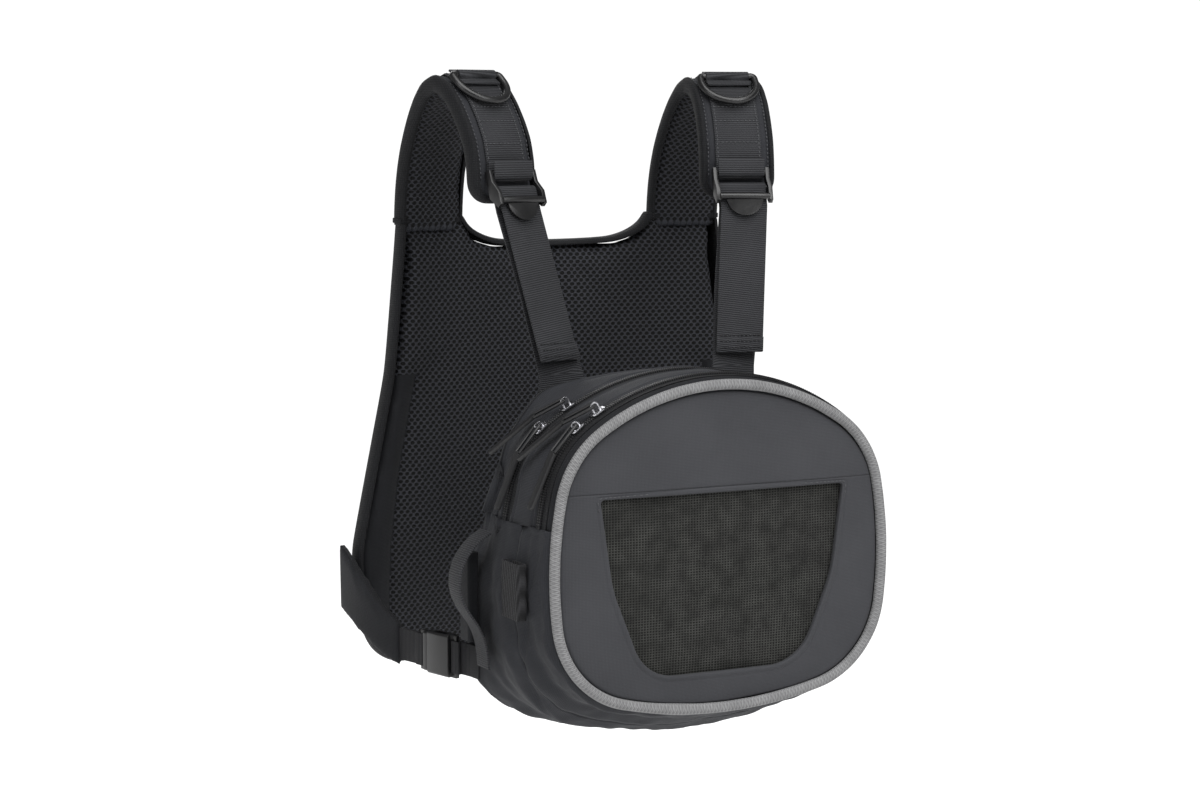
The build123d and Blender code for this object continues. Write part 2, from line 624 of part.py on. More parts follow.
def shoulder_angle(edge):
    """Angle from the vertical at which the shoulder arc starts."""
    c_top, c_shoulder = edge_centres(edge)[:2]
    return degrees(atan2(c_shoulder[0] - c_top[0], c_shoulder[1] - c_top[1]))


def pivot_height(bail_lift):
    """Height of a pull's pivot above the pack's outline, inside its bail."""
    floor = TAPE_LIFT + COIL_HEIGHT + RUNNING_GAP + SLIDER_PLATE
    return floor + bail_lift + BAIL_RADIUS - BAIL_WIRE - PULL_YOKE_RADIUS - RUNNING_GAP


ZIPS = (("main_zip", MAIN_ZIP_EDGE, MAIN_ZIP), ("front_zip", FRONT_ZIP_EDGE, FRONT_ZIP))
for zip_name, edge, depth in ZIPS:
    c_top, c_shoulder = edge_centres(edge)[:2]
    top_place = track_plane(c_top, edge[4], TOP_SLIDER_ANGLE, depth)
    side_place = track_plane((-c_shoulder[0], c_shoulder[1]), edge[5],
                             shoulder_angle(edge) + SIDE_SLIDER_ANGLE, depth)
    for which, place, bail_lift, yaw, bends, spread in (
            ("top", top_place, TOP_BAIL_LIFT, TOP_PULL_YAW, TOP_PULL_BENDS, TOP_PULL_SPREAD),
            ("side", side_place, SIDE_BAIL_LIFT, 0, SIDE_PULL_BENDS, SIDE_PULL_SPREAD)):
        write(place * slider(bail_lift), f"{zip_name}_{which}_slider")
        pivot = place * Pos(0, 0, pivot_height(bail_lift)) * Rot(0, 0, -yaw)
        write(pivot * pull(*bends, spread), f"{zip_name}_{which}_pull")


def gusset_pair(edge, depths):
    """Folded side gussets inside the sewn lower sides, across one zip plane."""
    band = ring(edge, *depths, -GUSSET_LIFT - GUSSET_THICKNESS, -GUSSET_LIFT)
    return band & heights(GUSSET_FOOT, GUSSET_TOP)


write(gusset_pair(MAIN_ZIP_EDGE, MAIN_GUSSET), "main_side_gussets")
write(gusset_pair(FRONT_ZIP_EDGE, FRONT_GUSSET), "front_side_gussets")


# -------------------------------------------- tool fittings, wearer's right side

def outer_x(edge, z, grow=0.0):
    """Half width of a pack outline at a height on its side arc."""
    c_side = edge_centres(edge)[2]
    return c_side[0] + sqrt((edge[6] + grow) ** 2 - (z - c_side[1]) ** 2)


def standing_sleeve(edge, depths, z_pair, standoff, wall):
    """Flat sleeve, open at its top and foot, that stands off the side of the pack."""
    low, high = z_pair
    middle = (low + high) / 2
    inner_x = max(outer_x(edge, z) for z in (low, middle, high)) + SEWN_GAP
    width = depths[1] - depths[0]
    centre = (-inner_x - standoff / 2, -(depths[0] + depths[1]) / 2, middle)
    outer = fillet(Box(standoff, width, high - low).edges().filter_by(Axis.Z), standoff / 3)
    hollow = Box(standoff - 2 * wall, width - 2 * wall, high - low)
    return Pos(*centre) * (outer - fillet(hollow.edges().filter_by(Axis.Z), standoff / 3 - wall))


def tool_loop():
    """Webbing loop that bulges out from the side of the pack."""
    path = Spline(*[(-x, z) for x, z in LOOP_PATH])
    steps = 2 * len(LOOP_PATH)
    stations = []
    for i in range(steps + 1):
        place, heading = path @ (i / steps), path % (i / steps)
        stations.append(((place.X, -LOOP_DEPTH, place.Y), (0, 1, 0), (heading.Y, 0, -heading.X)))
    return ribbon(stations, LOOP_WIDTH, 0, LOOP_THICKNESS)


write(standing_sleeve(REAR_EDGE, SLEEVE_DEPTHS, SLEEVE_HEIGHTS, SLEEVE_STANDOFF, SLEEVE_WALL), "tool_sleeve")
write(standing_sleeve(MAIN_ZIP_EDGE, ELASTIC_DEPTHS, ELASTIC_HEIGHTS, ELASTIC_STANDOFF, SLEEVE_WALL),
      "elastic_sleeve")
write(tool_loop(), "tool_loop")


# ------------------------------------------------- waist wings and side-release buckles

def waist_wing():
    """Padded tongue that carries the belt forward from the back panel's lower edge."""
    path = Spline(*[(x, y) for x, y, z in WING_PATH])
    steps = 3 * (len(WING_PATH) - 1)
    stations, widths = [], []
    for i in range(steps + 1):
        share = i / steps
        place, heading = path @ share, path % share
        at = share * (len(WING_PATH) - 1)
        low = min(int(at), len(WING_PATH) - 2)
        blend = at - low
        z = WING_PATH[low][2] * (1 - blend) + WING_PATH[low + 1][2] * blend
        widths.append(WING_HEIGHTS[low] * (1 - blend) + WING_HEIGHTS[low + 1] * blend)
        stations.append(((place.X, place.Y, z), (0, 0, 1), (-heading.Y, heading.X, 0)))
    return ribbon(stations, widths, -WING_THICKNESS / 2, WING_THICKNESS / 2)


yaw = radians(BELT_YAW)
BELT_AHEAD = (-sin(yaw), -cos(yaw), 0)
BELT_OUT = (cos(yaw), -sin(yaw), 0)
# Belt plane: x forward along the belt, y down, z away from the wearer
belt_plane = Plane(origin=BELT_START, x_dir=BELT_AHEAD, z_dir=BELT_OUT)


def span(x_from, x_to, height, thickness, y=0.0, z=0.0):
    """Box between two distances along the belt."""
    return Pos((x_from + x_to) / 2, y, z) * Box(x_to - x_from, height, thickness)


def buckle_socket():
    """Socket with a mouth, two press windows and a bar for its webbing."""
    body = span(MOUTH, SOCKET_SLOT[0], BUCKLE_HEIGHT, BUCKLE_THICKNESS)
    body = fillet(body.edges().filter_by(Axis.X), BUCKLE_CORNER)
    body += span(SOCKET_SLOT[0] - 1, SOCKET_END, BUCKLE_HEIGHT, BAR_THICKNESS)
    body -= span(MOUTH - 1, CAVITY_END, CAVITY_HEIGHT, CAVITY_THICKNESS)
    body -= span(*PRONG_WINDOW, BUCKLE_HEIGHT + 2, CAVITY_THICKNESS - 1)
    return body - span(*SOCKET_SLOT, BELT_HEIGHT + SLOT_PLAY, BUCKLE_THICKNESS + 2)


def buckle_plug():
    """Plug with a guide tongue and a bar for its webbing."""
    plug = span(PLUG_SLOT[1], MOUTH - RUNNING_GAP, BUCKLE_HEIGHT - 2, BUCKLE_THICKNESS - 1)
    plug = fillet(plug.edges().filter_by(Axis.X), BUCKLE_CORNER)
    plug += span(PLUG_FROM, PLUG_SLOT[1] + 1, BUCKLE_HEIGHT - 2, BAR_THICKNESS)
    plug += span(MOUTH - 1, CAVITY_END - 2, TONGUE_HEIGHT, CAVITY_THICKNESS - 2 * RUNNING_GAP)
    return plug - span(*PLUG_SLOT, BELT_HEIGHT + SLOT_PLAY, BUCKLE_THICKNESS + 2)


def buckle_prong(side):
    """Spring arm of the plug, pressed through the socket's window."""
    outer = CAVITY_HEIGHT / 2 - RUNNING_GAP
    arm = span(MOUTH + RUNNING_GAP, CAVITY_END - 2, PRONG_HEIGHT, CAVITY_THICKNESS - 2 * RUNNING_GAP,
               side * (outer - PRONG_HEIGHT / 2))
    return fillet(arm.edges().filter_by(Axis.Z), PRONG_CORNER)


def belt_loop(bar_low, bar_high, way):
    """Webbing turned round a buckle bar and closed into two sewn plies behind (-1) or ahead (+1) of it."""
    inner = BAR_THICKNESS / 2 + RUNNING_GAP
    outer = inner + BELT_THICKNESS
    low, high = bar_low - RUNNING_GAP, bar_high + RUNNING_GAP
    if way < 0:
        low -= BELT_LOOP_RUN
    else:
        high += BELT_LOOP_RUN
    loop = span(low - BELT_THICKNESS, high + BELT_THICKNESS, BELT_HEIGHT, 2 * outer)
    loop = fillet(loop.edges().filter_by(Axis.Y), BELT_THICKNESS)
    return loop - span(low, high, BELT_HEIGHT + 1, 2 * inner)


def rear_web():
    """Belt webbing from the wing's tip to the plug's bar."""
    loop = belt_loop(PLUG_FROM, PLUG_SLOT[0], -1)
    near = PLUG_FROM - RUNNING_GAP - BELT_LOOP_RUN - BELT_THICKNESS / 2
    return loop + span(0.5, near, BELT_HEIGHT, 2 * BELT_THICKNESS)


def front_web():
    """Belt webbing from the socket's bar to the side of the pack."""
    loop = belt_plane * belt_loop(SOCKET_SLOT[1], SOCKET_END, 1)
    joint = belt_plane * Pos(SOCKET_END + RUNNING_GAP + BELT_LOOP_RUN + BELT_THICKNESS / 2, 0, 0)
    z = BELT_START[2]
    route = [tuple(joint.position)] + [(x, y, z) for x, y in TAB_ROUTE]
    stations = []
    for i, place in enumerate(route):
        before, after = route[max(i - 1, 0)], route[min(i + 1, len(route) - 1)]
        ahead = unit(after[0] - before[0], after[1] - before[1])
        stations.append((place, (0, 0, 1), (-ahead[1], ahead[0], 0)))
    return loop + ribbon(stations, BELT_HEIGHT, -BELT_THICKNESS / 2, BELT_THICKNESS / 2)


write_pair(waist_wing(), "waist_wing")
write_pair(belt_plane * rear_web(), "waist_web_rear")
write_pair(front_web(), "waist_web_front")
write_pair(belt_plane * buckle_socket(), "waist_buckle_socket")
write_pair(belt_plane * buckle_plug(), "waist_buckle_plug")
write_pair(belt_plane * buckle_prong(-1), "waist_buckle_upper_prong")
write_pair(belt_plane * buckle_prong(1), "waist_buckle_lower_prong")
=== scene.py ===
import contextlib
import math

import bmesh
import bpy
import numpy as np
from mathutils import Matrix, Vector, noise
from mathutils.bvhtree import BVHTree


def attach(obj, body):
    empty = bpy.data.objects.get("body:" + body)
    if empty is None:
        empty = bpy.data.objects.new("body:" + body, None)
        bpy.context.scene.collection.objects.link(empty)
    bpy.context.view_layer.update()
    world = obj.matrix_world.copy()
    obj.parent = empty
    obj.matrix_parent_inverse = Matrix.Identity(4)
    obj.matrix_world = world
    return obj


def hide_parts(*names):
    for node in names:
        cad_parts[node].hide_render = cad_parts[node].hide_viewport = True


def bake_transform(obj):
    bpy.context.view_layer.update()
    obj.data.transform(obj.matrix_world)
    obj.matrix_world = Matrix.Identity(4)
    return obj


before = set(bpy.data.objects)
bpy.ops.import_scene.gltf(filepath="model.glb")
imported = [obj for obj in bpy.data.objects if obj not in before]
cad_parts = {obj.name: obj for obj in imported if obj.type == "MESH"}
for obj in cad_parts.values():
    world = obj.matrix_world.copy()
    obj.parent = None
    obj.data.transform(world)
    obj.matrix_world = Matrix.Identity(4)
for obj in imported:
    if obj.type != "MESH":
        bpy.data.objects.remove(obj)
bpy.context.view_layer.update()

SCENE = bpy.context.scene
SIDES = (("left", 1), ("right", -1))

# Pack outlines, in metres: top, bottom, half width, widest height, then the five radii
REAR = (-.217, -.494, .158, -.385, .420, .038, .225, .068, .350)
MAIN = (-.213, -.482, .151, -.368, .190, .080, .300, .072, .350)
FRONT = (-.212, -.466, .145, -.354, .190, .079, .300, .074, .350)
FACE = (-.215, -.463, .142, -.353, .187, .077, .300, .074, .350)
ZIP_END = -.318
# Depths in front of the crests: the pack's rear edge, the edges of the two zips' gaps, and the gusset's front edge
REAR_EDGE, GAP_1, GAP_2, GAP_3, GAP_4, FRONT_EDGE = .0956, .1405, .1435, .1905, .1935, .2038
STRAP = [
    ((.116, .0675, -.1078), (.983, -.186, 0), (.185, .981, .049)),
    ((.116, .0664, -.0929), (.982, -.191, 0), (.19, .977, .101)),
    ((.116, .0643, -.0782), (.981, -.196, 0), (.192, .963, .188)),
    ((.116, .0605, -.0638), (.98, -.201, 0), (.192, .933, .304)),
    ((.116, .055, -.05), (.979, -.206, 0), (.187, .887, .422)),
    ((.116, .0478, -.0369), (.977, -.211, 0), (.181, .836, .519)),
    ((.116, .0394, -.0246), (.976, -.216, 0), (.174, .783, .597)),
    ((.116, .0297, -.0134), (.975, -.222, 0), (.159, .701, .695)),
    ((.116, .0182, -.0039), (.974, -.227, 0), (.121, .52, .846)),
    ((.1152, .0042, .0006), (.973, -.232, 0), (-.003, -.013, 1)),
    ((.1134, -.0091, -.0051), (.972, -.237, 0), (-.15, -.614, .775)),
    ((.1114, -.019, -.016), (.97, -.242, 0), (-.194, -.777, .6)),
    ((.1093, -.0269, -.0284), (.969, -.247, 0), (-.214, -.838, .502)),
    ((.1075, -.0333, -.0417), (.968, -.252, 0), (-.236, -.906, .352)),
    ((.1066, -.0364, -.0562), (.966, -.257, 0), (-.255, -.96, .113)),
    ((.1063, -.0374, -.0711), (.965, -.262, 0), (-.262, -.964, .043)),
    ((.1062, -.0379, -.086), (.964, -.267, 0), (-.267, -.963, .03)),
]
PANEL = [
    (0, -.1235), (.0450, -.1225), (.0594, -.1203), (.0726, -.1152), (.0817, -.1090), (.087, -.1005),
    (.145, -.108), (.1471, -.1289), (.1502, -.159),
    (.1533, -.1891), (.1566, -.2192), (.1592, -.234), (.1662, -.2635), (.1732, -.2929), (.1802, -.3223),
    (.1872, -.3517), (.1904, -.3665), (.1907, -.3816), (.1886, -.3966), (.1831, -.4263), (.1792, -.4408),
    (.1704, -.453), (.1575, -.4608), (.1426, -.463), (0, -.463)]


# ------------------------------------------------------------------ materials

TONE = .60      # how dark the cloth and plastic colours are under these lamps


class Term:
    """A node's output that sums can be written with."""

    def __init__(self, net, socket):
        self.net, self.socket = net, socket

    def __add__(self, other):
        return self.net.sum("ADD", self, other)

    def __sub__(self, other):
        return self.net.sum("SUBTRACT", self, other)

    def __mul__(self, other):
        return self.net.sum("MULTIPLY", self, other)

    def __truediv__(self, other):
        return self.net.sum("DIVIDE", self, other)

    def __mod__(self, other):
        return self.net.sum("MODULO", self, other)

    def __pow__(self, other):
        return self.net.sum("POWER", self, other)

    def __abs__(self):
        return self.net.sum("ABSOLUTE", self)

    def scaled(self, by, plus):
        return self.net.sum("MULTIPLY_ADD", self, by, plus)


class Net:
    """A material whose nodes are written as sums."""

    def __init__(self, name, base, rough, **sockets):
        self.mat = bpy.data.materials.new(name)
        self.mat.use_nodes = True
        self.tree = self.mat.node_tree
        self.tree.nodes.clear()
        out = self.tree.nodes.new("ShaderNodeOutputMaterial")
        self.bsdf = self.tree.nodes.new("ShaderNodeBsdfPrincipled")
        self.tree.links.new(self.bsdf.outputs[0], out.inputs[0])
        self.tone = 1.0 if sockets.get("metallic") else TONE
        self.bsdf.inputs["Base Color"].default_value = self.toned(base)
        self.bsdf.inputs["Roughness"].default_value = rough
        for key, value in sockets.items():
            self.bsdf.inputs[key.replace("_", " ").title()].default_value = value
        coord = self.tree.nodes.new("ShaderNodeTexCoord")
        self.place, self.facing, self.uv = (coord.outputs[key] for key in ("Object", "Normal", "UV"))

    def toned(self, colour):
        return (*(c * self.tone for c in colour), 1)

    def matte(self):
        """Cloth reflects less than plastic does."""
        self.bsdf.inputs["Specular IOR Level"].default_value = .16
        return self

    def put(self, socket, value):
        if isinstance(value, Term):
            value = value.socket
        if isinstance(value, bpy.types.NodeSocket):
            self.tree.links.new(value, socket)
        else:
            socket.default_value = value

    def node(self, kind, *values, **settings):
        """A new node with its first inputs put and its settings made."""
        node = self.tree.nodes.new("ShaderNode" + kind)
        for key, value in settings.items():
            setattr(node, key, value)
        for socket, value in zip(node.inputs, values):
            self.put(socket, value)
        return node

    def sum(self, operation, a, b=0.0, c=0.0):
        return Term(self, self.node("Math", a, b, c, operation=operation).outputs[0])

    def parts(self, vector):
        return [Term(self, socket) for socket in self.node("SeparateXYZ", vector).outputs]

    def step(self, value, low, high):
        """0 below low and 1 above high, smoothly."""
        node = self.node("MapRange", value, low, high, 0.0, 1.0, interpolation_type="SMOOTHSTEP")
        return Term(self, node.outputs[0])

    def wave(self, value, pitch):
        """0 to 1 and back over one pitch."""
        return self.sum("SINE", value.scaled(2 * math.pi / pitch, 0.0)).scaled(.5, .5)

    def mottle(self, scale, detail):
        node = self.node("TexNoise", self.place)
        node.inputs["Scale"].default_value = scale
        node.inputs["Detail"].default_value = detail
        return Term(self, node.outputs[0])

    def colour(self, share, a, b):
        node = self.node("Mix", share, data_type="RGBA")
        node.inputs[6].default_value = self.toned(a)
        node.inputs[7].default_value = self.toned(b)
        self.put(self.bsdf.inputs["Base Color"], node.outputs[2])

    def rough(self, value):
        self.put(self.bsdf.inputs["Roughness"], value)

    def bump(self, height, depth):
        node = self.node("Bump")
        node.inputs["Strength"].default_value = 1.0
        node.inputs["Distance"].default_value = depth
        self.put(node.inputs["Height"], height)
        self.put(self.bsdf.inputs["Normal"], node.outputs[0])

    def flat_place(self):
        """Two surface coordinates, picked by the way the surface faces."""
        x, y, z = self.parts(self.place)
        nx, ny, nz = (abs(n) for n in self.parts(self.facing))
        is_x = self.sum("GREATER_THAN", nx, self.sum("MAXIMUM", ny, nz))
        is_z = self.sum("GREATER_THAN", nz, self.sum("MAXIMUM", nx, ny))
        return x + is_x * (y - x), z + is_z * (y - z)


def woven(name, dark, light, pitch=.0011, depth=.00025, seam=None):
    """Plain-weave cloth with a soft mottle; the weave's crowns painted lighter than its dips, a painted highlight and
    shade on the weave.
    """
    net = Net(name, dark, .72, sheen_weight=.04, sheen_roughness=.5).matte()
    u, v = net.flat_place()
    weave = net.wave(u, pitch) * net.wave(v, pitch)
    broad, fine = net.mottle(22, 5), net.mottle(900, 2)
    # The weave term paints the crowns light and the dips dark: painted highlight and shade on the weave. The broad
    # mottle is the cloth's own uneven tone.
    net.colour(weave * .45 + broad * .55, dark, light)
    net.rough(fine.scaled(.2, .62))
    height = weave * .6 + fine * .5
    if seam is not None:
        z = net.parts(net.place)[2]
        edge = net.step(z, seam - .0006, seam + .0006)
        groove = net.step(abs(z - seam), 0.0, .0011)
        height = height + edge * 2.2 + groove * 2.5
    net.bump(height, depth)
    return net.mat


def spacer(name, use_uv):
    """Air mesh: staggered oval cells in a knitted face."""
    net = Net(name, (.02, .021, .025), .55, sheen_weight=.03, sheen_roughness=.35).matte()
    if use_uv:
        u, v, _ = net.parts(net.uv)
    else:
        u, _, v = net.parts(net.place)
    u = u + (net.mottle(60, 2) - .5) * .0016
    row = v / .0031
    odd = net.sum("FLOOR", row + 1000.0) % 2.0
    column = u / .0056 + odd * .5
    fx, fy = (net.sum("FRACT", value) - .5 for value in (column, row))
    thread = net.step(net.sum("SQRT", (abs(fx) / .40) ** 2.0 + (abs(fy) / .60) ** 2.0), .62, 1.0)
    knit = net.wave(u, .0009) * net.wave(v, .0011)
    # The open cells are painted near black: painted shade deep in the cells. The threads' bluish grey is partly their
    # own colour and partly a painted highlight.
    net.colour(thread * knit.scaled(.55, .45), (.0006, .0006, .0008), (.085, .089, .106))
    net.bump(thread + knit * .25, .0011)
    return net.mat


def webbing(name, dark, light):
    """Narrow ribbed weave, ribs across the strip."""
    net = Net(name, dark, .6, sheen_weight=.04, sheen_roughness=.4).matte()
    across, along, _ = net.parts(net.uv)
    height = net.wave(along, .0017) * .8 + net.wave(across + along * .5, .0012) * .35
    net.colour(height * net.mottle(35, 3).scaled(.7, .45), dark, light)
    net.bump(height + net.mottle(700, 3) * .3, .0004)
    return net.mat


def moulded(name, base, rough, **sockets):
    """Injection-moulded plastic: faint grain, handling marks in the gloss."""
    net = Net(name, base, rough, **sockets)
    broad = net.mottle(70, 4)
    net.colour(broad, base, [min(1, c * 1.7 + .003) for c in base])
    net.rough(broad.scaled(.22, rough - .1))
    net.bump(net.mottle(1400, 3), .00006)
    return net.mat


def braid(name):
    """Knitted light-grey piping."""
    net = Net(name, (.2, .2, .2), .62, sheen_weight=.05).matte()
    turn, along, _ = net.parts(net.uv)
    left = net.wave(along / .0030 + turn * 3.0, 1.0)
    right = net.wave(along / .0030 - turn * 3.0, 1.0)
    cord = net.wave(along / .0015 + turn * 5.0, 1.0)
    height = net.sum("MAXIMUM", left, right) * .6 + cord * .5
    net.colour(height * net.mottle(120, 4).scaled(.8, .35), (.15, .15, .153), (.42, .42, .425))
    net.bump(height, .00035)
    return net.mat


def window_cloth(name):
    """Fine open mesh, lighter where its threads cross; the gaps painted near black, the dark cloth behind in painted
    shade.
    """
    net = Net(name, (.02, .02, .018), .75, sheen_weight=.03).matte()
    x, _, z = net.parts(net.place)
    drift = (net.mottle(40, 3) - .5) * .0012
    warp = net.step(net.wave(x + drift, .0024), .45, .95)
    weft = net.step(net.wave(z - drift, .0020), .45, .95)
    threads = net.sum("MAXIMUM", warp, weft)
    # The gaps between threads are painted near black: the dark cloth behind the mesh, in painted shade.
    net.colour(threads * net.mottle(90, 5).scaled(1.3, -.1), (.005, .005, .0045), (.095, .096, .088))
    net.bump(threads + warp * weft, .0004)
    return net.mat


def elastic(name):
    """Ribbed elastic, ribs along its height."""
    net = Net(name, (.012, .012, .013), .65, sheen_weight=.04).matte()
    _, y, z = net.parts(net.place)
    ribs, knit = net.wave(y + z * .18, .0030), net.wave(z, .0012)
    net.colour(ribs * knit.scaled(.4, .6), (.009, .009, .01), (.045, .045, .049))
    net.bump(ribs + knit * .25, .0007)
    return net.mat


MATS = {
    "fabric": woven("charcoal_cloth", (.016, .017, .021), (.052, .054, .062)),
    "dark_fabric": woven("dark_cloth", (.006, .0065, .008), (.026, .027, .032)),
    "face": woven("face_cloth", (.048, .049, .055), (.092, .094, .103), seam=-.293),
    "binding": woven("binding_tape", (.004, .004, .005), (.017, .018, .021), pitch=.0018, depth=.0004),
    "spacer": spacer("air_mesh_panel", False),
    "spacer_strap": spacer("air_mesh_strap", True),
    "webbing": webbing("ribbed_webbing", (.010, .010, .012), (.075, .077, .084)),
    "belt": webbing("belt_webbing", (.007, .007, .008), (.027, .027, .031)),
    "plastic": moulded("black_acetal", (.0035, .0035, .004), .34, coat_weight=.05, coat_roughness=.2),
    "thumb": moulded("grey_tab", (.035, .036, .04), .42),
    "piping": braid("knit_piping"),
    "window": window_cloth("window_mesh_cloth"),
    "elastic": elastic("ribbed_elastic_cloth"),
    "coil": moulded("zip_coil_nylon", (.008, .008, .009), .4),
    "metal": moulded("plated_zinc", (.42, .42, .44), .24, metallic=1.0),
    "pull": moulded("pull_rubber", (.010, .010, .011), .45),
    "thread": moulded("stitch_thread", (.055, .056, .062), .6),
    "dark_thread": moulded("dark_stitch_thread", (.010, .010, .012), .6),
    "sheet": moulded("stiff_sheet", (.05, .05, .05), .5),
}


# --------------------------------------------------------------------- meshes

def linked(name, data):
    """A new object in the scene."""
    obj = bpy.data.objects.new(name, data)
    SCENE.collection.objects.link(obj)
    return obj


def obj_from(name, verts, faces, mat, smooth=True):
    mesh = bpy.data.meshes.new(name)
    mesh.from_pydata([tuple(v) for v in verts], [], faces)
    mesh.materials.append(MATS[mat])
    mesh.validate()
    if smooth:
        mesh.shade_smooth()
    return linked(name, mesh)


@contextlib.contextmanager
def editing(mesh):
    bm = bmesh.new()
    bm.from_mesh(mesh)
    yield bm
    bm.to_mesh(mesh)
    bm.free()


def change(obj, kind, **settings):
    """Adds a modifier."""
    mod = obj.modifiers.new(kind.lower(), kind)
    for key, value in settings.items():
        setattr(mod, key, value)
    return mod


def place(obj, body, nodes=()):
    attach(obj, body)
    return tell(obj, nodes)


def tell(obj, nodes=()):
    if nodes:
        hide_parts(*nodes)
    return obj


def coords(mesh, what="co"):
    flat = np.empty(len(mesh.vertices) * 3)
    mesh.vertices.foreach_get(what, flat)
    return flat.reshape(-1, 3)


def set_coords(mesh, co):
    mesh.vertices.foreach_set("co", co.reshape(-1))
    mesh.update()


def run_up(points):
    """Distance along a line at each of its points."""
    return np.concatenate([[0], np.cumsum(np.linalg.norm(points[1:] - points[:-1], axis=1))])


def copy_nodes(name, nodes):
    """One welded mesh with the CAD nodes' shapes."""
    bm = bmesh.new()
    for node in nodes:
        bm.from_mesh(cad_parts[node].data)
    bmesh.ops.remove_doubles(bm, verts=bm.verts, dist=1e-6)
    mesh = bpy.data.meshes.new(name)
    bm.to_mesh(mesh)
    bm.free()
    mesh.materials.clear()
    return linked(name, mesh)


def bake(obj):
    """Applies every modifier."""
    shown = obj.evaluated_get(bpy.context.evaluated_depsgraph_get())
    mesh = bpy.data.meshes.new_from_object(shown)
    old = obj.data
    obj.modifiers.clear()
    obj.data = mesh
    mesh.name = obj.name
    bpy.data.meshes.remove(old)


def walled(obj, thickness, score):
    """Turns a sheet's faces so that their summed score is above 0, and gives it thickness inwards."""
    with editing(obj.data) as bm:
        bmesh.ops.recalc_face_normals(bm, faces=bm.faces)
        if sum(score(f) for f in bm.faces) < 0:
            bmesh.ops.reverse_faces(bm, faces=bm.faces)
    change(obj, "SOLIDIFY", thickness=thickness, offset=-1)
    bake(obj)
    obj.data.shade_smooth()
    return obj


def edged(obj, mat, bevel, limit, sharp):
    """Rounds the edges sharper than limit degrees, and shades across those under sharp degrees."""
    change(obj, "BEVEL", width=bevel, segments=2, limit_method="ANGLE", angle_limit=math.radians(limit))
    bake(obj)
    obj.data.materials.clear()
    obj.data.materials.append(MATS[mat])
    obj.data.shade_smooth()
    obj.data.set_sharp_from_angle(angle=math.radians(sharp))


def hard(name, node, mat, body, bevel, swell=0.0):
    """A moulded, metal or flat sewn part: the CAD shape with rounded edges."""
    obj = copy_nodes(name, [node])
    if swell:
        set_coords(obj.data, coords(obj.data) + coords(obj.data, "normal") * swell)
    edged(obj, mat, bevel, 35, 38)
    place(obj, body, [node])


def puff(name, nodes, voxel, cap, pin=None, pressure=4.0, smooth=2, extra=()):
    """A stuffed piece: the CAD space remeshed, blown up a little as cloth, and capped."""
    obj = copy_nodes(name, nodes)
    with editing(obj.data) as bm:
        for rows in extra:
            rings = [[bm.verts.new(p) for p in row] for row in rows]
            for a, b in zip(rings, rings[1:]):
                for j in range(4):
                    bm.faces.new((a[j], a[(j + 1) % 4], b[(j + 1) % 4], b[j]))
            bm.faces.new(rings[0][::-1])
            bm.faces.new(rings[-1])
    change(obj, "REMESH", mode="VOXEL", voxel_size=voxel)
    bake(obj)
    start = coords(obj.data)
    held = pin(start) if pin else np.zeros(len(start))
    if pin:
        group = obj.vertex_groups.new(name="pin")
        for i in np.nonzero(held > 0)[0]:
            group.add([int(i)], float(held[i]), "REPLACE")
    cloth = change(obj, "CLOTH")
    cloth.settings.use_pressure = True
    cloth.settings.uniform_pressure_force = pressure
    cloth.settings.quality = 5
    cloth.settings.mass = .25
    cloth.settings.effector_weights.gravity = 0
    cloth.collision_settings.use_collision = False
    if pin:
        cloth.settings.vertex_group_mass = "pin"
        cloth.settings.pin_stiffness = 1
    cloth.point_cache.frame_start = 1
    cloth.point_cache.frame_end = 20
    for step in range(1, 21):
        SCENE.frame_set(step)
    bake(obj)
    SCENE.frame_set(1)
    after = coords(obj.data)
    move = after - start
    far = np.linalg.norm(move, axis=1, keepdims=True)
    move *= np.minimum(1, cap / np.maximum(far, 1e-9))
    set_coords(obj.data, start + move)
    obj.vertex_groups.clear()
    with editing(obj.data) as bm:
        for _ in range(smooth):
            bmesh.ops.smooth_vert(bm, verts=bm.verts, factor=.5, use_axis_x=True, use_axis_y=True, use_axis_z=True)
    change(obj, "SUBSURF", levels=1, render_levels=1)
    bake(obj)
    obj.data.materials.clear()
    obj.data.shade_smooth()
    return obj


def uv_along(obj, line, across):
    """UVs in metres: across the strip, and along its line."""
    line = np.array(line)
    seg = line[1:] - line[:-1]
    size = np.linalg.norm(seg, axis=1)
    start = run_up(line)[:-1]
    co = coords(obj.data)
    t = ((co[:, None, :] - line[None, :-1, :]) * seg[None]).sum(2) / (size ** 2)[None]
    t[:, 0] = np.minimum(t[:, 0], 1)
    t = np.clip(t, 0, 1)
    foot = line[None, :-1, :] + t[:, :, None] * seg[None]
    gap = np.linalg.norm(co[:, None, :] - foot, axis=2)
    pick = gap.argmin(1)
    rows = np.arange(len(co))
    along = start[pick] + t[rows, pick] * size[pick]
    side = (co - foot[rows, pick]) @ np.array(across)
    layer = obj.data.uv_layers.new(name="strip")
    loops = np.empty(len(obj.data.loops), dtype=int)
    obj.data.loops.foreach_get("vertex_index", loops)
    layer.data.foreach_set("uv", np.stack([side[loops], along[loops]], 1).reshape(-1))


def strip(name, node, mat, body, line, across, shape=None):
    """A webbing piece: the CAD shape, its weave along a line."""
    obj = copy_nodes(name, [node])
    if shape:
        set_coords(obj.data, shape(coords(obj.data)))
    edged(obj, mat, .0003, 40, 50)
    uv_along(obj, line, across)
    if body:
        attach(obj, body)
    return tell(obj, [node])


STITCH_PITCH, STITCH, THREAD = .0034, .0023, .00042


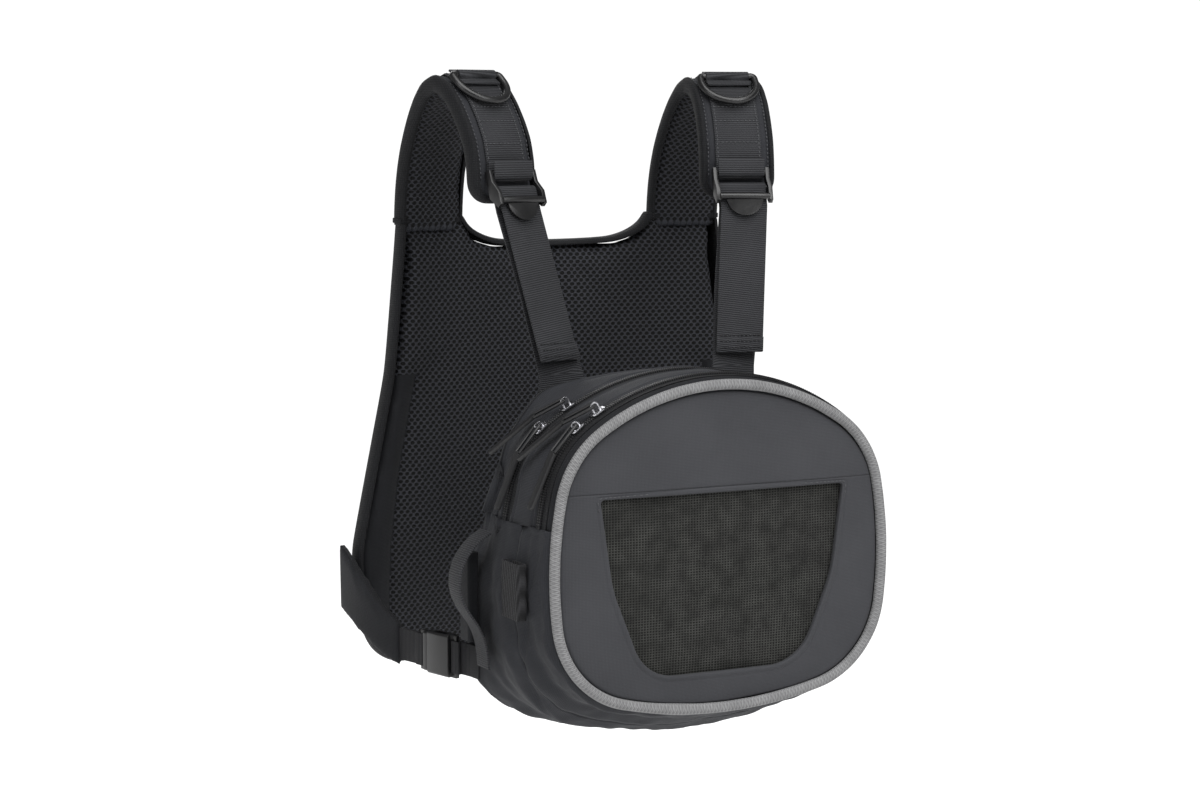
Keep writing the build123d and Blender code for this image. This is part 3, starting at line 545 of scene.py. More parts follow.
def sewn(name, runs, body, mat="thread"):
    """Rows of thread: short raised stitches along lines of 3-D points."""
    verts, faces = [], []
    for run in runs:
        run = [Vector(p) for p in run]
        carry = 0.0
        for a, b in zip(run, run[1:]):
            length = (b - a).length
            if length < 1e-9:
                continue
            way = (b - a) / length
            up = way.orthogonal().normalized()
            side = way.cross(up)
            at = carry
            while at + STITCH < length + 1e-6:
                base = len(verts)
                for along, r in ((0, .35), (.3, 1), (.7, 1), (1, .35)):
                    centre = a + way * (at + along * STITCH)
                    for k in range(5):
                        turn = 2 * math.pi * k / 5
                        verts.append(centre + (up * math.cos(turn) + side * math.sin(turn)) * THREAD * r)
                for ring in range(3):
                    for k in range(5):
                        n = (k + 1) % 5
                        faces.append((base + ring * 5 + k, base + ring * 5 + n,
                                      base + ring * 5 + 5 + n, base + ring * 5 + 5 + k))
                faces.append(tuple(base + k for k in range(5))[::-1])
                faces.append(tuple(base + 15 + k for k in range(5)))
                at += STITCH_PITCH
            carry = max(0.0, at - length)
    return place(obj_from(name, verts, faces, mat), body)


# -------------------------------------------------------------- pack outlines

def crossing(c0, r0, c1, r1, side):
    gap = math.hypot(c1[0] - c0[0], c1[1] - c0[1])
    along = (r0 ** 2 - r1 ** 2 + gap ** 2) / (2 * gap)
    across = math.sqrt(max(0, r0 ** 2 - along ** 2))
    ux, uy = (c1[0] - c0[0]) / gap, (c1[1] - c0[1]) / gap
    return c0[0] + along * ux - side * across * uy, c0[1] + along * uy + side * across * ux


PER_ARC = 30    # points on each arc


def half_outline(edge):
    """Points and outward normals down the +X half of a pack outline."""
    top, bottom, half, wide, r_top, r_shoulder, r_side, r_corner, r_bottom = edge
    c_top, c_side, c_bottom = (0, top - r_top), (half - r_side, wide), (0, bottom + r_bottom)
    c_shoulder = max((crossing(c_top, r_top - r_shoulder, c_side, r_side - r_shoulder, s) for s in (1, -1)),
                     key=lambda c: c[0] + c[1])
    c_corner = max((crossing(c_bottom, r_bottom - r_corner, c_side, r_side - r_corner, s) for s in (1, -1)),
                   key=lambda c: c[0] - c[1])

    def ray(a, b):
        return math.atan2(b[1] - a[1], b[0] - a[0])

    angles = [math.pi / 2, ray(c_top, c_shoulder), ray(c_side, c_shoulder), ray(c_side, c_corner),
              ray(c_bottom, c_corner), -math.pi / 2]
    arcs = zip((c_top, c_shoulder, c_side, c_corner, c_bottom), (r_top, r_shoulder, r_side, r_corner, r_bottom),
               angles, angles[1:])
    out = []
    for centre, radius, a0, a1 in arcs:
        for i in range(PER_ARC):
            a = a0 + (a1 - a0) * i / PER_ARC
            out.append((centre[0] + radius * math.cos(a), centre[1] + radius * math.sin(a), math.cos(a), math.sin(a)))
    out.append((0, bottom, 0, -1))
    return np.array(out)


def whole_outline(edge):
    """Closed outline from the top, clockwise as seen from the front: x, z, normal x, normal z."""
    right = half_outline(edge)
    left = right[1:-1][::-1] * np.array([-1, 1, -1, 1])
    return np.concatenate([right, left])


LINES = {edge: whole_outline(edge) for edge in (REAR, MAIN, FRONT, FACE)}


def outline_at(depth):
    """Pack outline at a distance forward of the crests."""
    marks = [(REAR_EDGE, REAR), (.130, MAIN), (.154, MAIN), (.180, FRONT), (FRONT_EDGE, FRONT), (.2068, FACE)]
    if depth <= marks[0][0]:
        return LINES[REAR]
    for (d0, e0), (d1, e1) in zip(marks, marks[1:]):
        if depth <= d1:
            t = (depth - d0) / (d1 - d0)
            return LINES[e0] * (1 - t) + LINES[e1] * t
    return LINES[FACE]


def cut_open(rows, upper):
    """Keeps each row's part above or below the end of the zips, ends trimmed to it."""
    count = rows.shape[1]
    middle = rows[len(rows) // 2]
    half = count // 2
    right = [i for i in range(half) if (middle[i, 2] > ZIP_END) == upper]
    left = [i for i in range(half + 1, count) if (middle[i, 2] > ZIP_END) == upper]
    kept = left + [0] + right[1:] if upper else right + [half] + left
    part = rows[:, kept].copy()
    for row in part:
        for end, inner in ((0, 1), (-1, -2)):
            a, b = row[end], row[inner]
            if abs(a[2] - b[2]) > 1e-6:
                row[end] = a + (b - a) * ((ZIP_END - a[2]) / (b[2] - a[2]))
    return part


def strips(m, n):
    """Quads of an open grid, m rows of n points."""
    return [(a, a + n, a + n + 1, a + 1) for i in range(m - 1) for a in range(i * n, i * n + n - 1)]


def rings_of(m, n, start=0):
    """Quads between m closed rings of n points."""
    return [(a + j, a + (j + 1) % n, a + n + (j + 1) % n, a + n + j)
            for a in range(start, start + (m - 1) * n, n) for j in range(n)]


PACK_CENTRE = Vector((0, -.15, -.35))


def shell(name, depths, swell, upper, mat="fabric"):
    """Open loft of the pack's sides over a list of depths."""
    rows = []
    for depth in depths:
        line = outline_at(depth)
        grow = np.array([swell(depth, x, z) for x, z in line[:, :2]])
        rows.append(np.stack([line[:, 0] + line[:, 2] * grow, np.full(len(line), -depth),
                              line[:, 1] + line[:, 3] * grow], 1))
    part = cut_open(np.array(rows), upper)
    obj = obj_from(name, part.reshape(-1, 3), strips(*part.shape[:2]), mat)
    return walled(obj, .0020, lambda f: (f.calc_center_median() - PACK_CENTRE).dot(f.normal))


def steps(low, high, gap=.002):
    count = max(2, round((high - low) / gap) + 1)
    return [low + (high - low) * i / (count - 1) for i in range(count)]


def dimple(value, at, width):
    return math.exp(-((value - at) / width) ** 2)


def folds(x, depth, z, size, pitch):
    return size * noise.noise(Vector((x / pitch, depth / (pitch * .8), z / pitch + 7.3)))


def tuck(depth, z):
    """How far the pack's rear corner is drawn in beside the end of the zips."""
    near = max(0.0, 1 - max(0.0, abs(z - ZIP_END) - .012) / .045)
    return .0085 * near * near * (3 - 2 * near) * min(1, max(0, (.1290 - depth) / .032))


def swell_main(depth, x, z):
    t = (depth - REAR_EDGE) / (GAP_1 - REAR_EDGE)
    grow = .0026 * math.sin(math.pi * min(max(t, 0), 1)) + folds(x, depth, z, .0016, .030)
    grow += .0010 * dimple(depth, .1325, .0011) - .0009 * dimple(depth, .1300, .0008)
    grow += .0016 * dimple(depth, .0966, .0012) - tuck(depth, z)
    return grow * min(1, max(0, (GAP_1 - depth) / .004)) if depth > .1365 else grow


def swell_middle(depth, x, z):
    t = (depth - GAP_2) / (GAP_3 - GAP_2)
    grow = .0022 * math.sin(math.pi * min(max(t, 0), 1)) + folds(x, depth + .2, z, .0013, .026)
    grow += .0010 * (dimple(depth, .1520, .0011) + dimple(depth, .1825, .0011))
    grow -= .0008 * (dimple(depth, .1545, .0008) + dimple(depth, .1800, .0008))
    edge = min(depth - GAP_2, GAP_3 - depth)
    return grow * min(1, max(0, edge / .004))


def swell_front(depth, x, z):
    return .0006 * dimple(depth, .1985, .001) + folds(x, depth + .5, z, .0004, .02)


def swell_lower(depth, x, z):
    """The sewn lower sides and bottom: fuller, with long folds."""
    t = min(max((depth - REAR_EDGE) / (FRONT_EDGE - REAR_EDGE), 0), 1)
    low = min(1, max(0, (ZIP_END - z) / .05))
    grow = .0014 + .0052 * low * math.sin(math.pi * t) ** .7
    grow += folds(x * .5, depth * 1.5, z, .0032 * low, .030) + folds(x, depth, z + 3, .0012, .012)
    grow += .0012 * dimple(z, ZIP_END - .001, .0016) - .0010 * dimple(z, ZIP_END - .0045, .0012)
    grow += .0014 * dimple(depth, .0966, .0014)
    slant = .150 + (z + .47) * .35
    grow -= .0016 * dimple(depth, slant, .0018) * low
    if depth < .2025:
        return max(grow, .0007) - tuck(depth, z)
    return max(min(grow, .0007 + (FRONT_EDGE - depth)), .0003)


upper_main = shell("main_shell_cloth", steps(.0920, GAP_1, .0015), swell_main, True)
place(upper_main, "harness", ["main_shell"])
upper_middle = shell("middle_shell_cloth", steps(GAP_2, GAP_3, .0015), swell_middle, True)
place(upper_middle, "main_cover", ["middle_shell"])
upper_front = shell("front_gusset_cloth", steps(GAP_4, .2066, .001), swell_front, True, "dark_fabric")
place(upper_front, "front_cover", ["front_gusset"])
rear_wrap = shell("rear_lower_wrap", steps(.0916, .1670, .002), swell_lower, False)
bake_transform(rear_wrap)
tell(rear_wrap, ["main_side_gussets"])
front_wrap = shell("front_lower_wrap", steps(.1670, .2068, .002), swell_lower, False)
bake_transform(front_wrap)
tell(front_wrap, ["front_side_gussets"])


def tree_of(obj):
    return BVHTree.FromObject(obj, bpy.context.evaluated_depsgraph_get())


# ---------------------------------------------------------------------- face

CENTRE = np.array([0, -.350])
ANGLES = np.linspace(-np.pi, np.pi, 721)[:-1]


def polar(radius, angle):
    return CENTRE[0] + radius * math.cos(angle), CENTRE[1] + radius * math.sin(angle)


def radial(line):
    """Distance from CENTRE to a closed outline along each of ANGLES."""
    p = line[:, :2] - CENTRE
    a = np.arctan2(p[:, 1], p[:, 0])
    r = np.hypot(p[:, 0], p[:, 1])
    order = np.argsort(a)
    a, r = a[order], r[order]
    return np.interp(ANGLES, np.concatenate([a - 2 * np.pi, a, a + 2 * np.pi]), np.concatenate([r, r, r]))


def rounded(points, radii):
    """A polygon with rounded corners, as points 2 mm apart or closer."""
    out = []
    count = len(points)
    for i in range(count):
        p, a, b = (np.array(points[k % count], float) for k in (i, i - 1, i + 1))
        u, v = (a - p) / np.linalg.norm(a - p), (b - p) / np.linalg.norm(b - p)
        half = math.acos(np.clip(u @ v, -1, 1)) / 2
        reach = radii[i] / math.tan(half)
        centre = p + (u + v) / np.linalg.norm(u + v) * radii[i] / math.sin(half)
        s, e = p + u * reach - centre, p + v * reach - centre
        turn = math.atan2(s[0] * e[1] - s[1] * e[0], s @ e)
        for k in range(11):
            t = turn * k / 10
            c, n = math.cos(t), math.sin(t)
            out.append(centre + np.array([s[0] * c - s[1] * n, s[0] * n + s[1] * c]))
    dense = []
    for a, b in zip(out, out[1:] + out[:1]):
        n = max(1, int(np.linalg.norm(b - a) / .002))
        dense += [a + (b - a) * k / n for k in range(n)]
    return np.array(dense)


WINDOW = rounded([(-.1035, -.297), (.1035, -.297), (.0935, -.365), (.066, -.433), (-.066, -.433), (-.0935, -.365)],
                 [.003, .003, .10, .038, .038, .10])
R_WIN = radial(WINDOW)
face_line = LINES[FACE].copy()
face_line[:, 0] -= face_line[:, 2] * .0058
face_line[:, 1] -= face_line[:, 3] * .0058
R_FACE = radial(face_line)


def crown(x, z):
    """How far the padded face stands forward."""
    a = math.atan2(z - CENTRE[1], x)
    rho = math.hypot(x, z - CENTRE[1]) / np.interp(a, ANGLES, R_FACE, period=2 * np.pi)
    rho = min(rho, 1)
    grow = .0052 * (1 - rho ** 2.6)
    grow += .0007 * noise.noise(Vector((x * 14, z * 14, 1.7))) * (1 - rho ** 4)
    grow -= .0015 * dimple(math.hypot((x - .03) / 2.2, z + .455), 0, .012)
    return grow


def face_piece():
    rings = []
    gap = R_FACE - R_WIN
    shares = [0, .0004, .0010, .0022, .0034, .0042, .0048, .0056]
    lifts = [0, .0006, .0008, .0008, .0006, .0001, .0001, .0004]
    rings.append((R_WIN, lambda k: .0032))
    for s, h in zip(shares, lifts):
        rings.append((R_WIN + s, lambda k, h=h: -h))
    for t in np.linspace(0, 1, 26)[1:]:
        r = R_WIN + .0056 + t * (gap - .0056)
        back = .0024 * max(0, (t - .93) / .07) ** 2
        rings.append((r, lambda k, b=back: b - .0004))
    verts = []
    for r, offset in rings:
        for k, a in enumerate(ANGLES):
            x, z = polar(r[k], a)
            verts.append((x, -(.2078 + crown(x, z)) + offset(k), z))
    obj = obj_from("face_cloth_panel", verts, rings_of(len(rings), len(ANGLES)), "face")
    return walled(obj, .0022, lambda f: -f.normal.y)


face = place(face_piece(), "front_cover", ["face_panel"])


def disc(name, radii, depth, bulge, mat, rings=40, thick=.0008):
    """A filled outline, a little hollow or full, with a thin wall."""
    verts = [(CENTRE[0], -depth - bulge(0, CENTRE[1]), CENTRE[1])]
    for i in range(1, rings + 1):
        t = i / rings
        for k, a in enumerate(ANGLES):
            x, z = polar(radii[k] * t, a)
            verts.append((x, -depth - bulge(x, z), z))
    n = len(ANGLES)
    faces = [(0, 1 + (k + 1) % n, 1 + k) for k in range(n)]
    faces += rings_of(rings, n, 1)
    return walled(obj_from(name, verts, faces, mat), thick, lambda f: -f.normal.y)


window = disc("window_mesh_cloth", R_WIN + .004, .2046, lambda x, z: crown(x, z) * .8 - .0002
              + .0005 * noise.noise(Vector((x * 30, z * 30, 4))), "window")
place(window, "front_cover", ["window_mesh"])
cut_x, cut_z = (R_WIN + .004) * np.cos(ANGLES), (R_WIN + .004) * np.sin(ANGLES)
float(abs((cut_x * np.roll(cut_z, -1) - cut_z * np.roll(cut_x, -1)).sum()) / 2)
rear_line = LINES[REAR].copy()
rear_line[:, :2] -= rear_line[:, 2:] * np.array([[tuck(REAR_EDGE, z)] for z in rear_line[:, 1]])
R_REAR = radial(rear_line)
wall = disc("pack_back_cloth", R_REAR + .0005, .0938, lambda x, z: 0, "dark_fabric", rings=24, thick=.0036)
place(wall, "harness", ["pack_back_wall"])
stiff = disc("pack_back_sheet", R_REAR - .014, .0953, lambda x, z: 0, "sheet", rings=12, thick=.0011)
place(stiff, "harness", ["pack_back_stiffener"])
R_FRONT = radial(LINES[FRONT])
divider = disc("divider_cloth", R_FRONT - .0026, .1872,
               lambda x, z: .0006 * noise.noise(Vector((x * 20, z * 20, 9))), "dark_fabric", rings=24, thick=.0020)
place(divider, "main_cover", ["compartment_divider"])


def piping():
    """Knitted cord round the face, with a lapped joint at the bottom."""
    line = LINES[FACE]
    n = len(line)
    along = run_up(np.concatenate([line, line[:1]])[:, :2])
    sides = 20
    verts = []
    join = n // 2 + 14
    for i in range(n):
        x, z, nx, nz = line[i]
        lap = dimple(min(abs(i - join), n - abs(i - join)), 0, 5)
        radius = .0040 * (1 + .10 * lap + .035 * noise.noise(Vector((x * 60, z * 60, 2))))
        for k in range(sides):
            turn = 2 * math.pi * k / sides
            out, fore = radius * math.cos(turn), radius * math.sin(turn)
            verts.append((x + nx * (out - .0022), -.2086 - fore, z + nz * (out - .0022)))
    faces, loop_uv = [], []
    for i in range(n):
        for k in range(sides):
            a, b = i, (i + 1) % n
            c, d = k, (k + 1) % sides
            faces.append((a * sides + c, a * sides + d, b * sides + d, b * sides + c))
            u0, u1, v0, v1 = k / sides, (k + 1) / sides, along[i], along[i + 1]
            loop_uv += [(u0, v0), (u1, v0), (u1, v1), (u0, v1)]
    obj = obj_from("face_piping_cord", verts, faces, "piping")
    layer = obj.data.uv_layers.new(name="strip")
    layer.data.foreach_set("uv", np.array(loop_uv).reshape(-1))
    return obj


place(piping(), "front_cover", ["face_piping"])
face_tree = tree_of(face)


def on_face(x, z):
    hit = face_tree.ray_cast(Vector((x, -.4, z)), Vector((0, 1, 0)))[0]
    return hit - Vector((0, .0002, 0)) if hit else None


def face_run(points):
    return [p for p in (on_face(x, z) for x, z in points) if p is not None]


window_run = [polar(r + .0030, a) for r, a in list(zip(R_WIN, ANGLES))[::2]]
seam_run = [(x, -.2955) for x in np.linspace(-.1285, .1285, 140)]
top_run = [(x, -.2905) for x in np.linspace(-.1275, .1275, 140)]
sewn("face_thread", [face_run(window_run + window_run[:1]), face_run(seam_run), face_run(top_run)], "front_cover")


# ---------------------------------------------------------------------- zips

def teeth(name, edge, depth, body):
    line = LINES[edge]
    count = len(line)
    order = [i for i in range(count // 2 + 1, count) if line[i, 1] > ZIP_END]
    order += [i for i in range(0, count // 2) if line[i, 1] > ZIP_END]
    path = line[order]
    along = run_up(path[:, :2])
    verts, faces = [], []
    for s in np.arange(.002, along[-1] - .002, .0019):
        x, z, nx, nz = (np.interp(s, along, path[:, c]) for c in range(4))
        tx, tz = nz, -nx
        base = len(verts)
        for out, half in ((-.0002, .00052), (.0022, .00052), (.0029, .00030)):
            for t, d in ((-1, -1), (1, -1), (1, 1), (-1, 1)):
                y = -depth - d * (.00125 if out < .0025 else .0007)
                verts.append((x + nx * out + tx * half * t, y, z + nz * out + tz * half * t))
        for ring in range(2):
            for k in range(4):
                m = (k + 1) % 4
                low = base + ring * 4
                faces.append((low + k, low + m, low + 4 + m, low + 4 + k))
        faces.append(tuple(base + 8 + k for k in range(4)))
    place(obj_from(name, verts, faces, "coil", smooth=False), body)


for zip_name, edge, depth, rear, fore in (("main", MAIN, .142, "harness", "main_cover"),
                                          ("front", FRONT, .192, "main_cover", "front_cover")):
    for which, shift, body in (("rear", -.00145, rear), ("front", .00145, fore)):
        node = f"{zip_name}_zip_{which}_tape"
        teeth(f"{zip_name}_{which}_teeth", edge, depth + shift, body)
        tape = copy_nodes(f"{zip_name}_{which}_tape", [node])
        tape.data.materials.append(MATS["binding"])
        place(tape, body, [node])
    for where in ("top", "side"):
        slider, pull = (f"{zip_name}_zip_{where}_{part}" for part in ("slider", "pull"))
        hard(f"{zip_name}_{where}_slider_metal", slider, "metal", slider, .0003)
        hard(f"{zip_name}_{where}_pull_tab", pull, "pull", pull, .0004)


# ---------------------------------------------------------------- back panel

PANEL_AXIS = .085 - .620                # the panel is curved about a vertical line here
PANEL_IN, PANEL_OUT = .613, .627        # radii of its two faces
PANEL_NODES = ["back_mesh_liner", "back_foam_core", "back_outer_panel"]
SIDE_SEAM_TOP, DART_TOP = -.228, -.33


def panel_face(x, radius):
    return PANEL_AXIS + math.sqrt(radius ** 2 - x ** 2)


panel_line = np.array(PANEL + [(-x, z) for x, z in PANEL[::-1]])


def rim_gap(x, z):
    """Distance to the panel's outline."""
    a, b = panel_line[:-1], panel_line[1:]
    p = np.array([x, z])
    seg = b - a
    t = np.clip(((p - a) * seg).sum(1) / np.maximum((seg ** 2).sum(1), 1e-12), 0, 1)
    return np.linalg.norm(p - (a + t[:, None] * seg), axis=1).min()


def channel(z):
    """How far out the curved side seam runs."""
    return np.interp(-z, [.11, .20, .25, .31, .37, .42, .465], [.118, .126, .137, .150, .158, .160, .158])


def dart(z):
    """How far out the slanting lower seam runs."""
    return np.interp(-z, [.33, .40, .465], [.020, .060, .075])


def panel_pins(co):
    """The seams hold the padding down."""
    x, z = np.abs(co[:, 0]), co[:, 2]
    held = np.exp(-(x / .0045) ** 2) + np.exp(-((x - channel(z)) / .004) ** 2) * (z < SIDE_SEAM_TOP)
    held += np.exp(-((x - dart(z)) / .004) ** 2) * (z < DART_TOP)
    held[held < .35] = 0
    return np.minimum(held, 1)


def neck_web(sign):
    """The rounded corner of the neck opening, as rings of four points."""
    rows = []
    for i in range(13):
        a = math.pi / 2 * i / 12
        inner = (.045 + .042 * math.cos(a), -.1005 - .0225 * math.sin(a))
        outer = (.092, -.1005 - .0265 * math.tan(min(a, math.pi / 4))) if i <= 6 else (
            .045 + .047 / math.tan(a), -.127)
        row = [(sign * px, panel_face(px, r), pz) for r, (px, pz) in
               ((PANEL_IN, inner), (PANEL_OUT, inner), (PANEL_OUT, outer), (PANEL_IN, outer))]
        rows.append(row if sign > 0 else row[::-1])
    return rows


panel = puff("back_panel_pad", PANEL_NODES, .0045, .0045, panel_pins, extra=[neck_web(1), neck_web(-1)])
co, way = coords(panel.data), coords(panel.data, "normal")
rim = np.array([rim_gap(x, z) for x, z in co[:, [0, 2]]])
x, z = np.abs(co[:, 0]), co[:, 2]
inner = way[:, 1] < -.2
sink = .0022 * np.exp(-(x / .0022) ** 2) + .0020 * np.exp(-((x - channel(z)) / .0022) ** 2) * (z < SIDE_SEAM_TOP)
sink += .0016 * np.exp(-((x - dart(z)) / .0022) ** 2) * (z < DART_TOP)
sink += .0012 * np.exp(-((rim - .0045) / .0014) ** 2) * inner
co[:, 1] += np.where(inner, sink, -.3 * sink)
co[:, 2] += .0075 * np.clip((co[:, 2] + .122) / .010, 0, 1) * (x > .080)
set_coords(panel.data, co)
for key in ("spacer", "fabric", "binding", "dark_fabric"):
    panel.data.materials.append(MATS[key])
for poly in panel.data.polygons:
    c = poly.center
    gap = rim_gap(c.x, c.z)
    if gap < .0034:
        poly.material_index = 2
    elif poly.normal.y < 0:
        poly.material_index = 3 if abs(c.x) > channel(c.z) and c.z < SIDE_SEAM_TOP else 0
    else:
        poly.material_index = 1
place(panel, "harness", PANEL_NODES)


def swept(name, rows):
    """A binding tape lofted through rows of points."""
    rows = np.array(rows)
    obj = obj_from(name, rows.reshape(-1, 3), strips(*rows.shape[:2]), "binding")
    change(obj, "SOLIDIFY", thickness=.0009, offset=0)
    change(obj, "SUBSURF", levels=1, render_levels=1)
    bake(obj)
    obj.data.shade_smooth()
    place(obj, "harness")


def softened(points):
    """Corner-cut version of an open 2-D line."""
    points = [np.array(p, float) for p in points]
    for _ in range(3):
        cut = [points[0]]
        for a, b in zip(points, points[1:]):
            cut += [a * .75 + b * .25, a * .25 + b * .75]
        points = cut + [points[-1]]
    return np.array(points)


def even(points, gap):
    """Points at even distances along a line."""
    along = run_up(points)
    at = np.linspace(0, along[-1], max(3, int(along[-1] / gap)))
    return np.stack([np.interp(at, along, points[:, c]) for c in range(points.shape[1])], 1)


def outward(points):
    """Unit normals on the left of a 2-D line."""
    way = np.gradient(points, axis=0)
    way /= np.linalg.norm(way, axis=1, keepdims=True)
    return np.stack([-way[:, 1], way[:, 0]], 1)


def panel_binding(name, points, flip):
    line = even(softened(points), .004)
    rows = []
    for (px, pz), (nx, nz) in zip(line, outward(line) * flip):
        row = []
        front, rear = panel_face(px, PANEL_IN), panel_face(px, PANEL_OUT)
        for out, y in ((-.0036, front - .0012), (-.0018, front - .0014), (-.0002, front - .0004),
                       (.0008, front + .0035), (.0009, (front + rear) / 2), (.0008, rear - .0035),
                       (-.0002, rear + .0004), (-.0030, rear + .0014), (-.0050, rear + .0012)):
            row.append((px + nx * out, y, pz + nz * out))
        rows.append(row)
    swept(name, rows)


side_edge = [p for p in PANEL if p[0] > .145 and p[1] < -.109] + [(.1426, -.463)]
panel_binding("panel_outer_binding", [(.145, -.106)] + side_edge + [(-x, z) for x, z in side_edge[::-1]]
              + [(-.145, -.106)], 1)
neck_edge = PANEL[1:6][::-1]
panel_binding("panel_neck_binding", neck_edge + [(0, -.1235)] + [(-x, z) for x, z in neck_edge[::-1]], -1)


# -------------------------------------------------------------------- straps

PAD_HALF, PAD_TOP = .0295, .0112        # the pad's half width, and its height under the webbing
WEB_HALF, WEB_TOP = .0205, .01325       # where the webbing covers the pad, and the webbing's upper side
CORNER = .0155                          # radius of the pad's lower corners


def mirrored(v, sign):
    return (sign * v[0], v[1], v[2])


def part_way(rows, at):
    """A point between two rows."""
    i = min(int(at), len(rows) - 2)
    t = at - i
    return rows[i] * (1 - t) + rows[i + 1] * t


